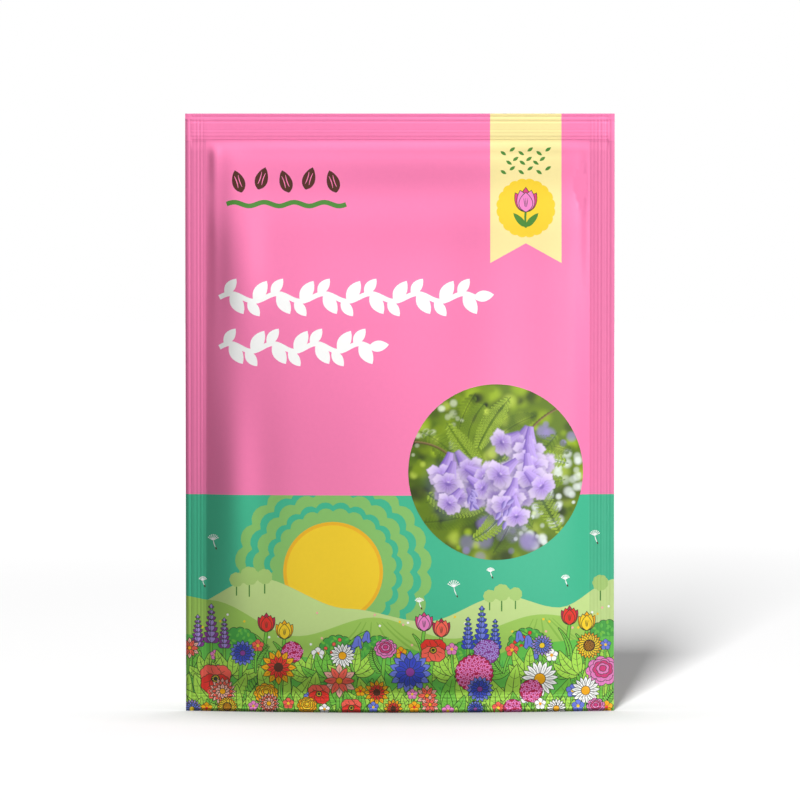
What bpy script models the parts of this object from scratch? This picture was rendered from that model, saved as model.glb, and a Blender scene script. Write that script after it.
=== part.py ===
"""Seed sachet: a front and a back film, crimped together along all four edges into a shallow pillow.

Metres, +Z up. X runs across the sachet, its front faces -Y, and the origin is the centre of its underside.
The sachet stands on its bottom seal, which bows in plan so that it has some depth to stand on.
"""

import math

import bpy

# Driving dimensions.
WIDTH = 0.100
HEIGHT = 0.1394
FILM_THICKNESS = 0.00015
PILLOW_RISE = 0.0060
EDGE_BOW = 0.0080

TOP_SEAL = 0.0063
BOTTOM_SEAL = 0.0047
LEFT_SEAL = 0.0048
RIGHT_SEAL = 0.0058
RIB_PITCH = 0.00105
RIB_RISE = 0.00010
SEAM_GAP = 0.0003

# How the pillow swells: a higher power keeps the middle flatter and the rims steeper.
SWELL_POWER = 6
FILL_SAG = 0.12

# Mesh fineness.
PANEL_COLUMNS = 18
PANEL_ROWS = 24
SEAL_SEGMENTS = 10
LINES_PER_RIB = 2
RIM_CROWDING = 0.5

# Colours are linear red, green, blue and alpha.
PINK_FILM = (1.0, 0.262, 0.503, 1.0)
PALE_PINK_FILM = (1.0, 0.371, 0.591, 1.0)
SEAL_PINK = (0.831, 0.195, 0.402, 1.0)
MEADOW_GREEN = (0.098, 0.456, 0.069, 1.0)
FILM_ROUGHNESS = 0.38
CRIMP_ROUGHNESS = 0.45

PACKET_NAME = "seed_sachet"


def clear_scene():
    """Remove every object that is already in the scene."""
    for existing in list(bpy.data.objects):
        bpy.data.objects.remove(existing, do_unlink=True)


def film_material(name, colour, roughness):
    """A printed plastic film."""
    material = bpy.data.materials.new(name)
    material.use_nodes = True
    shader = material.node_tree.nodes["Principled BSDF"]
    shader.inputs["Base Color"].default_value = colour
    shader.inputs["Roughness"].default_value = roughness
    shader.inputs["Metallic"].default_value = 0.0
    material.diffuse_color = colour
    return material


def ease(t):
    """Rise from 0 to 1 with level ends."""
    return t * t * (3 - 2 * t)


def mid_surface(x, z):
    """Depth of the sheet that halves the sachet: the bottom seal is bowed and upright, the top one straight."""
    across = x / (WIDTH / 2)
    climbed = (z - BOTTOM_SEAL) / (HEIGHT - TOP_SEAL - BOTTOM_SEAL)
    straightened = ease(min(max(climbed, 0.0), 1.0))
    return EDGE_BOW * (across ** 2 - 0.5) * (1 - straightened)


def pillow_rise(across, up):
    """How far a film stands off the middle sheet; across and up run from -1 to 1 between the seals."""
    side_swell = 1 - abs(across) ** SWELL_POWER
    end_swell = 1 - abs(up) ** SWELL_POWER
    fill = 1 - FILL_SAG * up
    return PILLOW_RISE * side_swell * end_swell * fill


def crowd_to_rims(step):
    """Move an even step from -1 to 1 towards the nearer rim, where the film turns most."""
    crowded = math.sin(step * math.pi / 2)
    return (1 - RIM_CROWDING) * step + RIM_CROWDING * crowded


def add_sheet(name, columns, rows, shape, thickness, side, material):
    """Bend a flat grid into place with shape(across, up), then thicken it into film.

    side is -1 for film that thickens towards the front, 1 towards the back and 0 for both ways.
    """
    bpy.ops.mesh.primitive_grid_add(x_subdivisions=columns, y_subdivisions=rows, size=2)
    sheet = bpy.context.object
    sheet.name = name
    sheet.data.name = name
    for vertex in sheet.data.vertices:
        vertex.co = shape(vertex.co.x, vertex.co.y)
    sheet.data.shade_smooth()
    sheet.data.materials.append(material)
    film = sheet.modifiers.new("film", "SOLIDIFY")
    film.thickness = thickness
    film.offset = -side
    film.use_even_offset = True
    return sheet


def add_panel(name, side, material):
    """One bulged film, from seal to seal."""
    left = -WIDTH / 2 + LEFT_SEAL + SEAM_GAP
    right = WIDTH / 2 - RIGHT_SEAL - SEAM_GAP
    low = BOTTOM_SEAL + SEAM_GAP
    high = HEIGHT - TOP_SEAL - SEAM_GAP

    def shape(across_step, up_step):
        across = crowd_to_rims(across_step)
        up = crowd_to_rims(up_step)
        x = (left + right) / 2 + across * (right - left) / 2
        z = (low + high) / 2 + up * (high - low) / 2
        stand_off = SEAM_GAP / 2 + pillow_rise(across, up)
        return (x, mid_surface(x, z) + side * stand_off, z)

    return add_sheet(name, PANEL_COLUMNS, PANEL_ROWS, shape, FILM_THICKNESS, side, material)


def rib_rise(line, last_line):
    """Stand-off of one line along a crimped strip: ribs by turns to the back and front, flat at both edges."""
    if line <= 1 or line >= last_line - 1:
        return 0.0
    return RIB_RISE if line % 2 else -RIB_RISE


def add_seal(name, left, right, low, high, ribs_upright, material):
    """Both films pressed into one ribbed strip; the ribs run along its length."""
    seal_width = right - left if ribs_upright else high - low
    last_line = LINES_PER_RIB * round(seal_width / RIB_PITCH)
    columns = last_line if ribs_upright else SEAL_SEGMENTS
    rows = SEAL_SEGMENTS if ribs_upright else last_line

    def shape(across, up):
        x = (left + right) / 2 + across * (right - left) / 2
        z = (low + high) / 2 + up * (high - low) / 2
        travelled = (across + 1) / 2 if ribs_upright else (up + 1) / 2
        line = round(travelled * last_line)
        return (x, mid_surface(x, z) + rib_rise(line, last_line), z)

    return add_sheet(name, columns, rows, shape, 2 * FILM_THICKNESS, 0, material)


def add_seals(crimped_pink, crimped_green):
    """The four crimped strips: the top and bottom ones run the whole width, the side ones between them."""
    left = -WIDTH / 2
    right = WIDTH / 2
    side_low = BOTTOM_SEAL + SEAM_GAP
    side_high = HEIGHT - TOP_SEAL - SEAM_GAP
    return [
        add_seal("top_seal", left, right, HEIGHT - TOP_SEAL, HEIGHT, False, crimped_pink),
        add_seal("bottom_seal", left, right, 0.0, BOTTOM_SEAL, False, crimped_green),
        add_seal("left_seal", left, left + LEFT_SEAL, side_low, side_high, True, crimped_pink),
        add_seal("right_seal", right - RIGHT_SEAL, right, side_low, side_high, True, crimped_pink),
    ]


def depth_centre(sheets):
    """Middle of the front-to-back extent of all the sheets with their film thickness."""
    bpy.context.view_layer.update()
    depsgraph = bpy.context.evaluated_depsgraph_get()
    depths = []
    for sheet in sheets:
        solid = sheet.evaluated_get(depsgraph)
        depths.extend(corner[1] for corner in solid.bound_box)
    return (min(depths) + max(depths)) / 2


def build_sachet():
    """Make every sub-part and gather them, with the origin under the middle of the sachet."""
    packet = bpy.data.collections.new(PACKET_NAME)
    bpy.context.scene.collection.children.link(packet)

    sheets = [
        add_panel("front_panel", -1, film_material("pink front film", PINK_FILM, FILM_ROUGHNESS)),
        add_panel("back_panel", 1, film_material("pink back film", PALE_PINK_FILM, FILM_ROUGHNESS)),
    ]
    sheets += add_seals(
        film_material("crimped pink film", SEAL_PINK, CRIMP_ROUGHNESS),
        film_material("crimped green film", MEADOW_GREEN, CRIMP_ROUGHNESS),
    )

    shift = depth_centre(sheets)
    for sheet in sheets:
        sheet.location.y = -shift
        for holder in list(sheet.users_collection):
            holder.objects.unlink(sheet)
        packet.objects.link(sheet)


clear_scene()
build_sachet()
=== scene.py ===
"""A printed seed sachet: two laminated films, crimped together along all four edges, standing on its foot.

The films are cut along every edge of their print, so that each ink covers faces of its own, and are then bent
over the sachet's form. Lengths are millimetres until a mesh is written, which is in metres.
"""

import itertools
import logging
import math
import random
from collections.abc import Sequence
from dataclasses import dataclass, field
from enum import Enum

import bpy
import numpy as np
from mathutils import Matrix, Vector
from mathutils.bvhtree import BVHTree
from mathutils.geometry import delaunay_2d_cdt


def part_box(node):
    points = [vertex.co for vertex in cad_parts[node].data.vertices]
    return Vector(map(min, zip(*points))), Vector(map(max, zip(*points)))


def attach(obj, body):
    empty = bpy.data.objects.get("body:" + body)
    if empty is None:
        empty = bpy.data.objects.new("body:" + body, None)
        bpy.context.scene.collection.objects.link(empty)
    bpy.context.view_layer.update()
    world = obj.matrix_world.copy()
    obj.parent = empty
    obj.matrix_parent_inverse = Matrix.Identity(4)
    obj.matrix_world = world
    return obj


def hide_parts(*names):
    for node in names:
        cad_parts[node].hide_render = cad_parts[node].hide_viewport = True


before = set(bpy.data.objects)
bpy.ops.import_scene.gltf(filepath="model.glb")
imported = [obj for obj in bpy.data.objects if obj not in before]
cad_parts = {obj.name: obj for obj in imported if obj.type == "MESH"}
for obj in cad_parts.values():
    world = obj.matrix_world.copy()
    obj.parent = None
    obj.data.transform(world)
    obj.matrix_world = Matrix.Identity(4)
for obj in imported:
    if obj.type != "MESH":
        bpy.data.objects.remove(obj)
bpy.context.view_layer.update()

LOG = logging.getLogger("sachet")

# A millimetre in metres; and in millimetres, how close printed points join, and a seal's plain lip.
MM = 0.001
WELD = 0.0005
LIP = 1.2
# The least cosine at a corner that a drawn line follows; a sharper corner gets a blunt line.
BLUNT_CORNER = 0.55
# Degrees from one seed to the next in a flower's spiral.
GOLDEN_TURN = 137.508
# Printed outlines are rows of complex numbers: across, and up as the imaginary part.
Outline = np.ndarray


class Ink(Enum):
    """The print's inks, each with its sRGB colour."""

    ROSE = "F67FB1"
    TEAL = "41B58D"
    HALO = "86BE68"
    SUN = "F2CD2E"
    SUN_RIM = "EDB42A"
    PALE_HILL = "C1DA8C"
    PALE_TREE = "A9CB74"
    MID_HILL = "9CC65A"
    FURROW = "88B74A"
    MEADOW = "62BC4B"
    SHADE = "46A243"
    LEAF = "A6D950"
    STEM = "73C043"
    LINE = "24331A"
    SCARLET = "E0342B"
    CORAL = "F26353"
    CRIMSON = "B01F4A"
    MAGENTA = "D53A7B"
    ORCHID = "E882C2"
    BLUSH = "EDB1A3"
    PERIWINKLE = "6C7AD8"
    COBALT = "3645BB"
    PLUM = "863A92"
    LAVENDER = "AD92DC"
    GOLD = "F2AB16"
    CREAM = "F4E39E"
    WHITE = "FAFAF8"
    BARK = "482213"
    MOSS = "478230"


def linear(srgb: str) -> tuple[float, float, float, float]:
    """Turn an sRGB hex colour to linear light.

    Args:
        srgb: Six hex digits.

    Returns:
        Red, green, blue and alpha, each from 0 to 1.
    """
    parts = [int(srgb[start:start + 2], 16) / 255 for start in (0, 2, 4)]
    red, green, blue = (c / 12.92 if c <= 0.04045 else ((c + 0.055) / 1.055) ** 2.4 for c in parts)
    return red, green, blue, 1.0


def ease(t: np.ndarray) -> np.ndarray:
    """Rise from 0 to 1 with level ends, and stay there outside."""
    t = np.clip(t, 0.0, 1.0)
    return t * t * (3 - 2 * t)


def polar(length: float, degrees: float) -> complex:
    """A step of a given length in a given direction."""
    return length * complex(math.cos(math.radians(degrees)), math.sin(math.radians(degrees)))


class Side(Enum):
    """Which film, as the sign of its outward Y."""

    FRONT = -1
    BACK = 1


@dataclass(frozen=True)
class Fold:
    """A soft ridge or dent in a film.

    Attributes:
        side: The film that it is in.
        x: Place across the sachet, from its middle.
        z: Height over the foot.
        reach: Half-length.
        spread: Half-width.
        turn: Direction of its length, in degrees from the horizontal.
        rise: Height of its middle, negative for a dent.
    """

    side: Side
    x: float
    z: float
    reach: float
    spread: float
    turn: float
    rise: float

    def height(self, x: np.ndarray, z: np.ndarray) -> np.ndarray:
        """How far the fold lifts the film at each place.

        Args:
            x: Places across the sachet, from its middle.
            z: Their heights over the foot.

        Returns:
            The lift at each place.
        """
        cos, sin = math.cos(math.radians(self.turn)), math.sin(math.radians(self.turn))
        along = ((x - self.x) * cos + (z - self.z) * sin) / self.reach
        across = ((z - self.z) * cos - (x - self.x) * sin) / self.spread
        return self.rise * np.exp(-(along ** 2) - across ** 2)


@dataclass(frozen=True)
class Crimp:
    """How one seal is pressed, with places measured in from its cut edge.

    Attributes:
        grooves: Where its deeper grooves lie.
        pinch: How far the film is pressed back at the inner end, negative where it bulges.
        curl: How far the cut edge bends back.
        plain: Where its fine ribs start.
    """

    grooves: tuple[float, ...]
    pinch: float
    curl: float
    plain: float = LIP


@dataclass(frozen=True)
class PouchForm:
    """The sachet's form: a middle sheet, and how far each film stands off it.

    The first eight sizes come from the CAD nodes.
    """

    width: float
    height: float
    top_seal: float
    bottom_seal: float
    left_seal: float
    right_seal: float
    bow: float
    middle_y: float
    pillow_rise: float = 6.0
    swell_power: int = 6
    fill_sag: float = 0.16
    fold_room: float = 18.0
    film: float = 0.15
    rib_pitch: float = 0.84
    rib_rise: float = 0.022
    steps_per_rib: int = 6
    rib_start: float = 0.8
    rib_end: float = 0.5
    rib_swing: float = 0.5
    rib_beat: float = 2.3
    crossed: float = 0.3
    groove_depth: float = 0.09
    groove_width: float = 0.28
    pinch_reach: float = 1.7
    pinch_fade: float = 2.5
    curl_reach: float = 0.9
    top_crimp: Crimp = Crimp((0.8, 1.86), 0.24, 0.0, 3.4)
    foot_crimp: Crimp = Crimp((1.2,), -0.12, 1.05)
    left_crimp: Crimp = Crimp((1.2,), -0.05, 0.36)
    right_crimp: Crimp = Crimp((1.2, 1.95), 0.03, 0.12)
    probe: float = 0.02
    folds: Sequence[Fold] = ()

    @classmethod
    def from_frame(cls, folds: Sequence[Fold]) -> "PouchForm":
        """Measure the seals on the CAD nodes.

        Args:
            folds: The soft folds of both films.

        Returns:
            The form that fits the CAD sachet.
        """
        top_low, top_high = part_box("top_seal")
        foot_low, foot_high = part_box("bottom_seal")
        _, left_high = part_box("left_seal")
        right_low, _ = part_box("right_seal")
        width = (top_high.x - top_low.x) / MM
        return cls(
            width=width,
            height=top_high.z / MM,
            top_seal=(top_high.z - top_low.z) / MM,
            bottom_seal=foot_high.z / MM,
            left_seal=width / 2 + left_high.x / MM,
            right_seal=width / 2 - right_low.x / MM,
            bow=(foot_high.y - foot_low.y) / MM - 2 * cls.film,
            middle_y=(top_high.y + top_low.y) / 2 / MM,
            folds=folds,
        )

    def crimped(self, inset: np.ndarray, seal: float, crimp: Crimp) -> np.ndarray:
        """Height of one seal's curl, grooves, fine ribs and pinch.

        Args:
            inset: Distances in from the cut edge.
            seal: The seal's width.
            crimp: How it is pressed.

        Returns:
            How far the film stands forward at each distance.
        """
        groove = self.groove_depth * sum(
            np.exp(-((inset - place) / self.groove_width) ** 2) for place in crimp.grooves
        )
        strength = ease((inset - crimp.plain) / self.rib_start) * ease((seal - inset) / self.rib_end)
        strength = strength * (1 + self.rib_swing * np.sin(self.rib_beat * inset))
        ribs = self.rib_rise * strength * np.cos(2 * np.pi * (inset - crimp.plain) / self.rib_pitch)
        fading = 1 - ease((inset - seal) / self.pinch_fade)
        pressed = np.clip(1 - (seal - inset) / self.pinch_reach, 0, 1) ** 2 * fading
        curled = np.clip(1 - inset / self.curl_reach, 0, 1) ** 2
        return ribs - groove - crimp.pinch * pressed - crimp.curl * curled

    def ribs(self, x: np.ndarray, z: np.ndarray) -> np.ndarray:
        """The crimping of all four seals; each one's lines fade on the lips of the seals across it.

        Args:
            x: Places across the sachet, from its middle.
            z: Their heights over the foot.

        Returns:
            How far both films stand forward at each place.
        """
        left, right, foot, top = self.width / 2 + x, self.width / 2 - x, z, self.height - z
        level = (
            self.crimped(top, self.top_seal, self.top_crimp)
            + self.crimped(foot, self.bottom_seal, self.foot_crimp)
        )
        upright = (
            self.crimped(left, self.left_seal, self.left_crimp)
            + self.crimped(right, self.right_seal, self.right_crimp)
        )
        inside_ends, inside_sides = (
            self.crossed + (1 - self.crossed) * ease((np.minimum(a, b) - LIP) / self.rib_end)
            for a, b in ((top, foot), (left, right))
        )
        return level * inside_sides + upright * inside_ends

    def middle(self, x: np.ndarray, z: np.ndarray) -> np.ndarray:
        """Y of the middle sheet: bowed and upright at the foot, straight at the top.

        Args:
            x: Places across the sachet, from its middle.
            z: Their heights over the foot.

        Returns:
            One Y for each place.
        """
        across = x / (self.width / 2)
        climbed = (z - self.bottom_seal) / (self.height - self.top_seal - self.bottom_seal)
        return self.middle_y + self.bow * (across ** 2 - 0.5) * (1 - ease(climbed)) - self.ribs(x, z)

    def across_up(self, x: np.ndarray, z: np.ndarray) -> tuple[np.ndarray, np.ndarray]:
        """Places between the seals, each from -1 to 1.

        Args:
            x: Places across the sachet, from its middle.
            z: Their heights over the foot.

        Returns:
            The places across and the places up.
        """
        left, right = -self.width / 2 + self.left_seal, self.width / 2 - self.right_seal
        low, high = self.bottom_seal, self.height - self.top_seal
        across = (2 * x - left - right) / (right - left)
        up = (2 * z - low - high) / (high - low)
        return np.clip(across, -1, 1), np.clip(up, -1, 1)

    def stand_off(self, x: np.ndarray, z: np.ndarray, side: Side) -> np.ndarray:
        """How far a film lies from the middle sheet.

        Args:
            x: Places across the sachet, from its middle.
            z: Their heights over the foot.
            side: The film.

        Returns:
            One distance for each place.
        """
        across, up = self.across_up(x, z)
        side_swell = 1 - np.abs(across) ** self.swell_power
        end_swell = 1 - np.abs(up) ** self.swell_power
        pillow = self.pillow_rise * side_swell * end_swell * (1 - self.fill_sag * up)
        room = ease(self.fold_room * (1 - np.abs(across))) * ease(self.fold_room * (1 - np.abs(up)))
        for fold in self.folds:
            if fold.side is side:
                pillow = pillow + room * fold.height(x, z)
        return self.film + np.maximum(pillow, 0)

    def y(self, x: np.ndarray, z: np.ndarray, side: Side) -> np.ndarray:
        """Y of a film's outer face."""
        return self.middle(x, z) + side.value * self.stand_off(x, z, side)

    def normals(self, x: np.ndarray, z: np.ndarray, side: Side) -> np.ndarray:
        """Outward normals of a film, one row for each place.

        Args:
            x: Places across the sachet, from its middle.
            z: Their heights over the foot.
            side: The film.

        Returns:
            Vectors of length 1.
        """
        slope_x = self.y(x + self.probe, z, side) - self.y(x - self.probe, z, side)
        slope_z = self.y(x, z + self.probe, side) - self.y(x, z - self.probe, side)
        run = 2 * self.probe
        normals = side.value * np.stack([-slope_x / run, np.ones_like(x), -slope_z / run], axis=1)
        return normals / np.linalg.norm(normals, axis=1, keepdims=True)

    def lines(self, end: float, first: float, last: float, between: int) -> np.ndarray:
        """Where the film's mesh lines lie along one direction.

        Args:
            end: The sachet's whole extent.
            first: Width of the seal at its start.
            last: Width of the seal at its end.
            between: Number of steps between the seals.

        Returns:
            Distances from the start, close together on the seals and near them.
        """
        fine = self.rib_pitch / self.steps_per_rib
        step = np.linspace(-1, 1, between + 1)
        crowded = (0.5 + 0.5 * step / 2 + 0.25 * np.sin(step * np.pi / 2)) * (end - first - last) + first
        start = np.linspace(0, first, math.ceil(first / fine) + 1)[:-1]
        finish = np.linspace(end - last, end, math.ceil(last / fine) + 1)[1:]
        return np.concatenate([start, crowded, finish])


def ellipse(centre: complex, across: float, up: float, turn: float = 0.0, steps: int = 20) -> Outline:
    """An ellipse from its half-axes."""
    angle = np.linspace(0, 2 * np.pi, steps, endpoint=False)
    return centre + (across * np.cos(angle) + 1j * up * np.sin(angle)) * polar(1, turn)


def disc(centre: complex, radius: float, steps: int = 20) -> Outline:
    """A round spot."""
    return ellipse(centre, radius, radius, 0.0, steps)


def petal(base: complex, turn: float, length: float, width: float, tip: float = 1.0,
          bluntness: float = 0.75, steps: int = 7) -> Outline:
    """A petal or a leaflet that grows from base; a larger tip moves its widest part outwards.

    Args:
        base: Where it grows from.
        turn: Its direction, in degrees from the right.
        length: Its length.
        width: Its greatest breadth.
        tip: Where its widest part lies; larger is farther out.
        bluntness: Smaller gives rounder ends.
        steps: The number of points along each side.

    Returns:
        Its outline.
    """
    t = np.linspace(0, 1, steps)
    half = width / 2 * np.sin(np.pi * t ** tip) ** bluntness
    half[0] = width * 0.06
    upper, lower = t * length + 1j * half, t * length - 1j * half
    return base + np.concatenate([lower, upper[-2::-1]]) * polar(1, turn)


def headings(path: Outline) -> np.ndarray:
    """The direction of a path at each of its points, as steps of length 1."""
    along = np.gradient(path)
    return along / np.abs(along)


def ribbon(path: Outline, widths: float | np.ndarray) -> Outline:
    """A band along a path, as wide as widths says at each point."""
    offset = 1j * headings(path) * np.asarray(widths) / 2
    return np.concatenate([path - offset, (path + offset)[::-1]])


def arc(start: complex, end: complex, sag: float, steps: int = 9) -> Outline:
    """A curve between two points that bends to the left by sag times their distance.

    Args:
        start: Its first point.
        end: Its last point.
        sag: How far it bends.
        steps: The number of its points.

    Returns:
        The points of the curve.
    """
    t = np.linspace(0, 1, steps)
    bend = (start + end) / 2 + 2 * sag * 1j * (end - start)
    return (1 - t) ** 2 * start + 2 * t * (1 - t) * bend + t ** 2 * end


def spiral(number: int, count: int, radius: float) -> complex:
    """A place in a disc that a growing spiral fills evenly, as seeds fill a flower."""
    return polar(radius * math.sqrt(number / count), GOLDEN_TURN * number)


def scalloped(centre: complex, radius: float, lobes: int, depth: float, squash: float = 1.0,
              turn: float = 0.0, steps_per_lobe: int = 6) -> Outline:
    """A round shape with a lobed rim.

    Args:
        centre: Its middle.
        radius: Reach of its lobes.
        lobes: The number of lobes.
        depth: How far the rim is cut in between them, as a share of the radius.
        squash: Its height as a share of its width.
        turn: How far it is turned, in degrees.
        steps_per_lobe: The number of points on each lobe.

    Returns:
        Its outline.
    """
    angle = np.linspace(0, 2 * np.pi, lobes * steps_per_lobe, endpoint=False)
    reach = radius * (1 - depth + depth * np.abs(np.sin(lobes * angle / 2)) ** 0.7)
    spun = angle + math.radians(turn)
    return centre + reach * (np.cos(spun) + 1j * squash * np.sin(spun))


def rounded_bar(left: float, low: float, right: float, high: float, radius: float, steps: int = 5) -> Outline:
    """A rectangle with round corners.

    Args:
        left: Its left edge.
        low: Its lower edge.
        right: Its right edge.
        high: Its upper edge.
        radius: Radius of its corners.
        steps: The number of points on each corner.

    Returns:
        Its outline.
    """
    angle = np.linspace(0, np.pi / 2, steps)
    corners = (
        (right - radius, high - radius, 0),
        (left + radius, high - radius, 1),
        (left + radius, low + radius, 2),
        (right - radius, low + radius, 3),
    )
    return np.concatenate([x + 1j * z + radius * np.exp(1j * (angle + n * np.pi / 2)) for x, z, n in corners])


def grown(outline: Outline, margin: float) -> Outline:
    """The outline moved outwards by a margin; it runs anticlockwise.

    Args:
        outline: The outline.
        margin: How far it is moved.

    Returns:
        The larger outline.
    """
    edges = np.roll(outline, -1) - outline
    normals = -1j * edges / np.abs(edges)
    corner = normals + np.roll(normals, 1)
    corner = corner / np.maximum(np.abs(corner), 1e-9)
    spread = np.maximum((corner * np.conj(normals)).real, BLUNT_CORNER)
    return outline + corner * margin / spread


def encloses(outline: Outline, places: np.ndarray) -> np.ndarray:
    """Whether each place lies inside: a line from it to the right crosses the outline oddly often.

    Args:
        outline: The outline.
        places: The places.

    Returns:
        True for each place that lies inside.
    """
    inside = np.zeros(len(places), bool)
    for start, end in zip(outline, np.roll(outline, -1)):
        level = (start.imag > places.imag) != (end.imag > places.imag)
        share = (places.imag - start.imag) / (end.imag - start.imag or 1)
        inside ^= level & (places.real < start.real + share * (end.real - start.real))
    return inside


class PrintLayout:
    """Flat printed shapes in the order in which they are laid, each over those before it."""

    line: float = 0.14

    def __init__(self, width: float, height: float) -> None:
        """Start with an empty sheet of a given size, with its origin at the middle of its lower edge.

        Args:
            width: Its width.
            height: Its height.
        """
        self.width = width
        self.height = height
        self.outlines: list[Outline] = []
        self.inks: list[Ink] = []

    def lay(self, ink: Ink, outline: Outline) -> None:
        """Print one shape.

        Args:
            ink: Its ink.
            outline: Its outline, in either direction.
        """
        outline = outline[np.abs(np.roll(outline, -1) - outline) > 2 * WELD]
        anticlockwise = (np.conj(outline) * np.roll(outline, -1)).imag.sum() > 0
        self.outlines.append(outline if anticlockwise else outline[::-1])
        self.inks.append(ink)

    def inked(self, ink: Ink, outline: Outline, line: float | None = None) -> None:
        """Print one shape with a drawn outline around it.

        Args:
            ink: Its ink.
            outline: Its outline.
            line: Width of the drawn line; None takes the usual one.
        """
        self.lay(ink, outline)
        self.outlines.insert(-1, grown(self.outlines[-1], self.line if line is None else line))
        self.inks.insert(-1, Ink.LINE)

    def stroke(self, ink: Ink, path: Outline, width: float, taper: float = 0.6) -> None:
        """Print a line that thins towards both ends."""
        t = np.linspace(-1, 1, len(path))
        self.lay(ink, ribbon(path, width * (1 - taper * t ** 2)))

    def visible_edges(self) -> tuple[list[Vector], list[tuple[int, int]], BVHTree, list[Ink]]:
        """Find where one visible ink meets another.

        Returns:
            The points and edges between unlike inks, and a tree and a list that give the ink at a place.
        """
        points = [Vector((p.real, p.imag)) for outline in self.outlines for p in outline]
        starts = np.cumsum([0] + [len(outline) for outline in self.outlines])
        faces = [list(range(a, b)) for a, b in zip(starts[:-1], starts[1:])]
        spots, _, cells, _, _, owners = delaunay_2d_cdt(points, [], faces, 1, WELD)
        tree = BVHTree.FromPolygons([spot.to_3d() for spot in spots], cells)
        flat, cells = np.array(spots), np.array(cells)
        top = self.uppermost(flat[cells].mean(axis=1) @ [1, 1j], owners)
        numbers = np.array([list(Ink).index(ink) for ink in self.inks])[top]
        ends = np.sort(np.stack([cells, np.roll(cells, -1, axis=1)], axis=-1).reshape(-1, 2), axis=1)
        pairs, place = np.unique(ends[:, 0] * len(flat) + ends[:, 1], return_inverse=True)
        least, most = np.full(len(pairs), len(Ink)), np.full(len(pairs), -1)
        np.minimum.at(least, place, np.repeat(numbers, 3))
        np.maximum.at(most, place, np.repeat(numbers, 3))
        kept = pairs[least < most]
        kept = np.stack([kept // len(flat), kept % len(flat)], axis=1)
        used, place = np.unique(kept, return_inverse=True)
        edges = place.reshape(-1, 2).tolist()
        return [spots[n] for n in used], edges, tree, [self.inks[n] for n in top]

    def uppermost(self, middles: np.ndarray, owners: Sequence[Sequence[int]]) -> np.ndarray:
        """The last laid shape at each place.

        Args:
            middles: The places.
            owners: The shapes said to lie there. One that is given outside its outline is looked at again.

        Returns:
            The number of one shape for each place.
        """
        counts = np.array([len(found) for found in owners])
        shapes = np.fromiter(itertools.chain.from_iterable(owners), int, counts.sum())
        cells = np.repeat(np.arange(len(counts)), counts)
        spots = middles[cells]
        low, high = (
            np.array([complex(edge(outline.real), edge(outline.imag)) for outline in self.outlines])[shapes]
            for edge in (np.min, np.max)
        )
        kept = (spots.real > low.real) & (spots.imag > low.imag)
        kept &= (spots.real < high.real) & (spots.imag < high.imag)
        strays = np.unique(shapes[~kept])
        for shape in strays:
            rows = np.flatnonzero(shapes == shape)
            kept[rows] = encloses(self.outlines[shape], spots[rows])
        LOG.info("%d shapes, %d of them looked at again", len(self.outlines), len(strays))
        top = np.zeros(len(middles), int)
        np.maximum.at(top, cells[kept], shapes[kept])
        return top

    def cut(self, columns: np.ndarray, rows: np.ndarray) -> tuple[np.ndarray, np.ndarray, list[Ink]]:
        """Cut the sheet along its mesh lines and along every edge of the print.

        Args:
            columns: Where the upright mesh lines lie.
            rows: Where the level mesh lines lie.

        Returns:
            Flat points, triangles and the ink of each triangle.
        """
        points, edges, tree, inks = self.visible_edges()
        for start, end in (
            [(Vector((x, rows[0])), Vector((x, rows[-1]))) for x in columns]
            + [(Vector((columns[0], z)), Vector((columns[-1], z))) for z in rows]
        ):
            edges.append((len(points), len(points) + 1))
            points += [start, end]
        spots, _, cells, _, _, _ = delaunay_2d_cdt(points, edges, [], 0, WELD)
        flat = np.array([tuple(spot) for spot in spots])
        cells = np.array(cells)
        middles = flat[cells].mean(axis=1)
        x, z = middles.T
        inside = (np.abs(x) < self.width / 2) & (z > 0) & (z < self.height)
        down = Vector((0, 0, -1))
        found = [tree.ray_cast(Vector((*middle, 1.0)), down)[2] for middle in middles[inside]]
        return flat, cells[inside], [inks[n] if n is not None else self.inks[0] for n in found]


def feed(made: bpy.types.Node, values: dict, sources: dict | None = None) -> None:
    """Set a shader node's sockets.

    Args:
        made: The node.
        values: Socket names and their values.
        sources: Socket names, and the node and output that feed each.
    """
    for socket, value in values.items():
        made.inputs[socket].default_value = value
    for socket, (source, output) in (sources or {}).items():
        made.id_data.links.new(source.outputs[output], made.inputs[socket])


def node(tree: bpy.types.NodeTree, kind: str, values: dict | None = None, sources: dict | None = None,
         **settings: object) -> bpy.types.Node:
    """Add a shader node.

    Args:
        tree: The tree that it goes in.
        kind: The node's type, without the words that all of them start with.
        values: Socket names and their values.
        sources: Socket names, and the node and output that feed each.
        **settings: The node's own options.

    Returns:
        The new node.
    """
    made = tree.nodes.new(f"ShaderNode{kind}")
    for option, value in settings.items():
        setattr(made, option, value)
    feed(made, values or {}, sources)
    return made


def blank_material(name: str) -> tuple[bpy.types.Material, bpy.types.NodeTree, bpy.types.Node]:
    """A new material, its tree and its main shader.

    Args:
        name: The material's name.

    Returns:
        The three, in that order.
    """
    material = bpy.data.materials.new(name)
    material.use_nodes = True
    tree = material.node_tree
    return material, tree, tree.nodes["Principled BSDF"]


def stand(name: str, data: bpy.types.ID) -> bpy.types.Object:
    """Put a mesh, a lamp or a camera in the scene.

    Args:
        name: The object's name.
        data: The mesh, lamp or camera.

    Returns:
        The object.
    """
    made = bpy.data.objects.new(name, data)
    bpy.context.scene.collection.objects.link(made)
    return made


class SealShade(Enum):
    """Painted shade and light on the seals: a factor on their inks' colour, darker on the side seals and a
    little lighter on the top and foot seals.
    """

    NONE = 1.0
    LIGHT = 1.04
    HARD = 0.88


class Ply(Enum):
    """The film's other faces, besides those that carry one ink."""

    PICTURE = "picture"
    CUT_EDGE = "cut edge"
    INSIDE = "inside"


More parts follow.
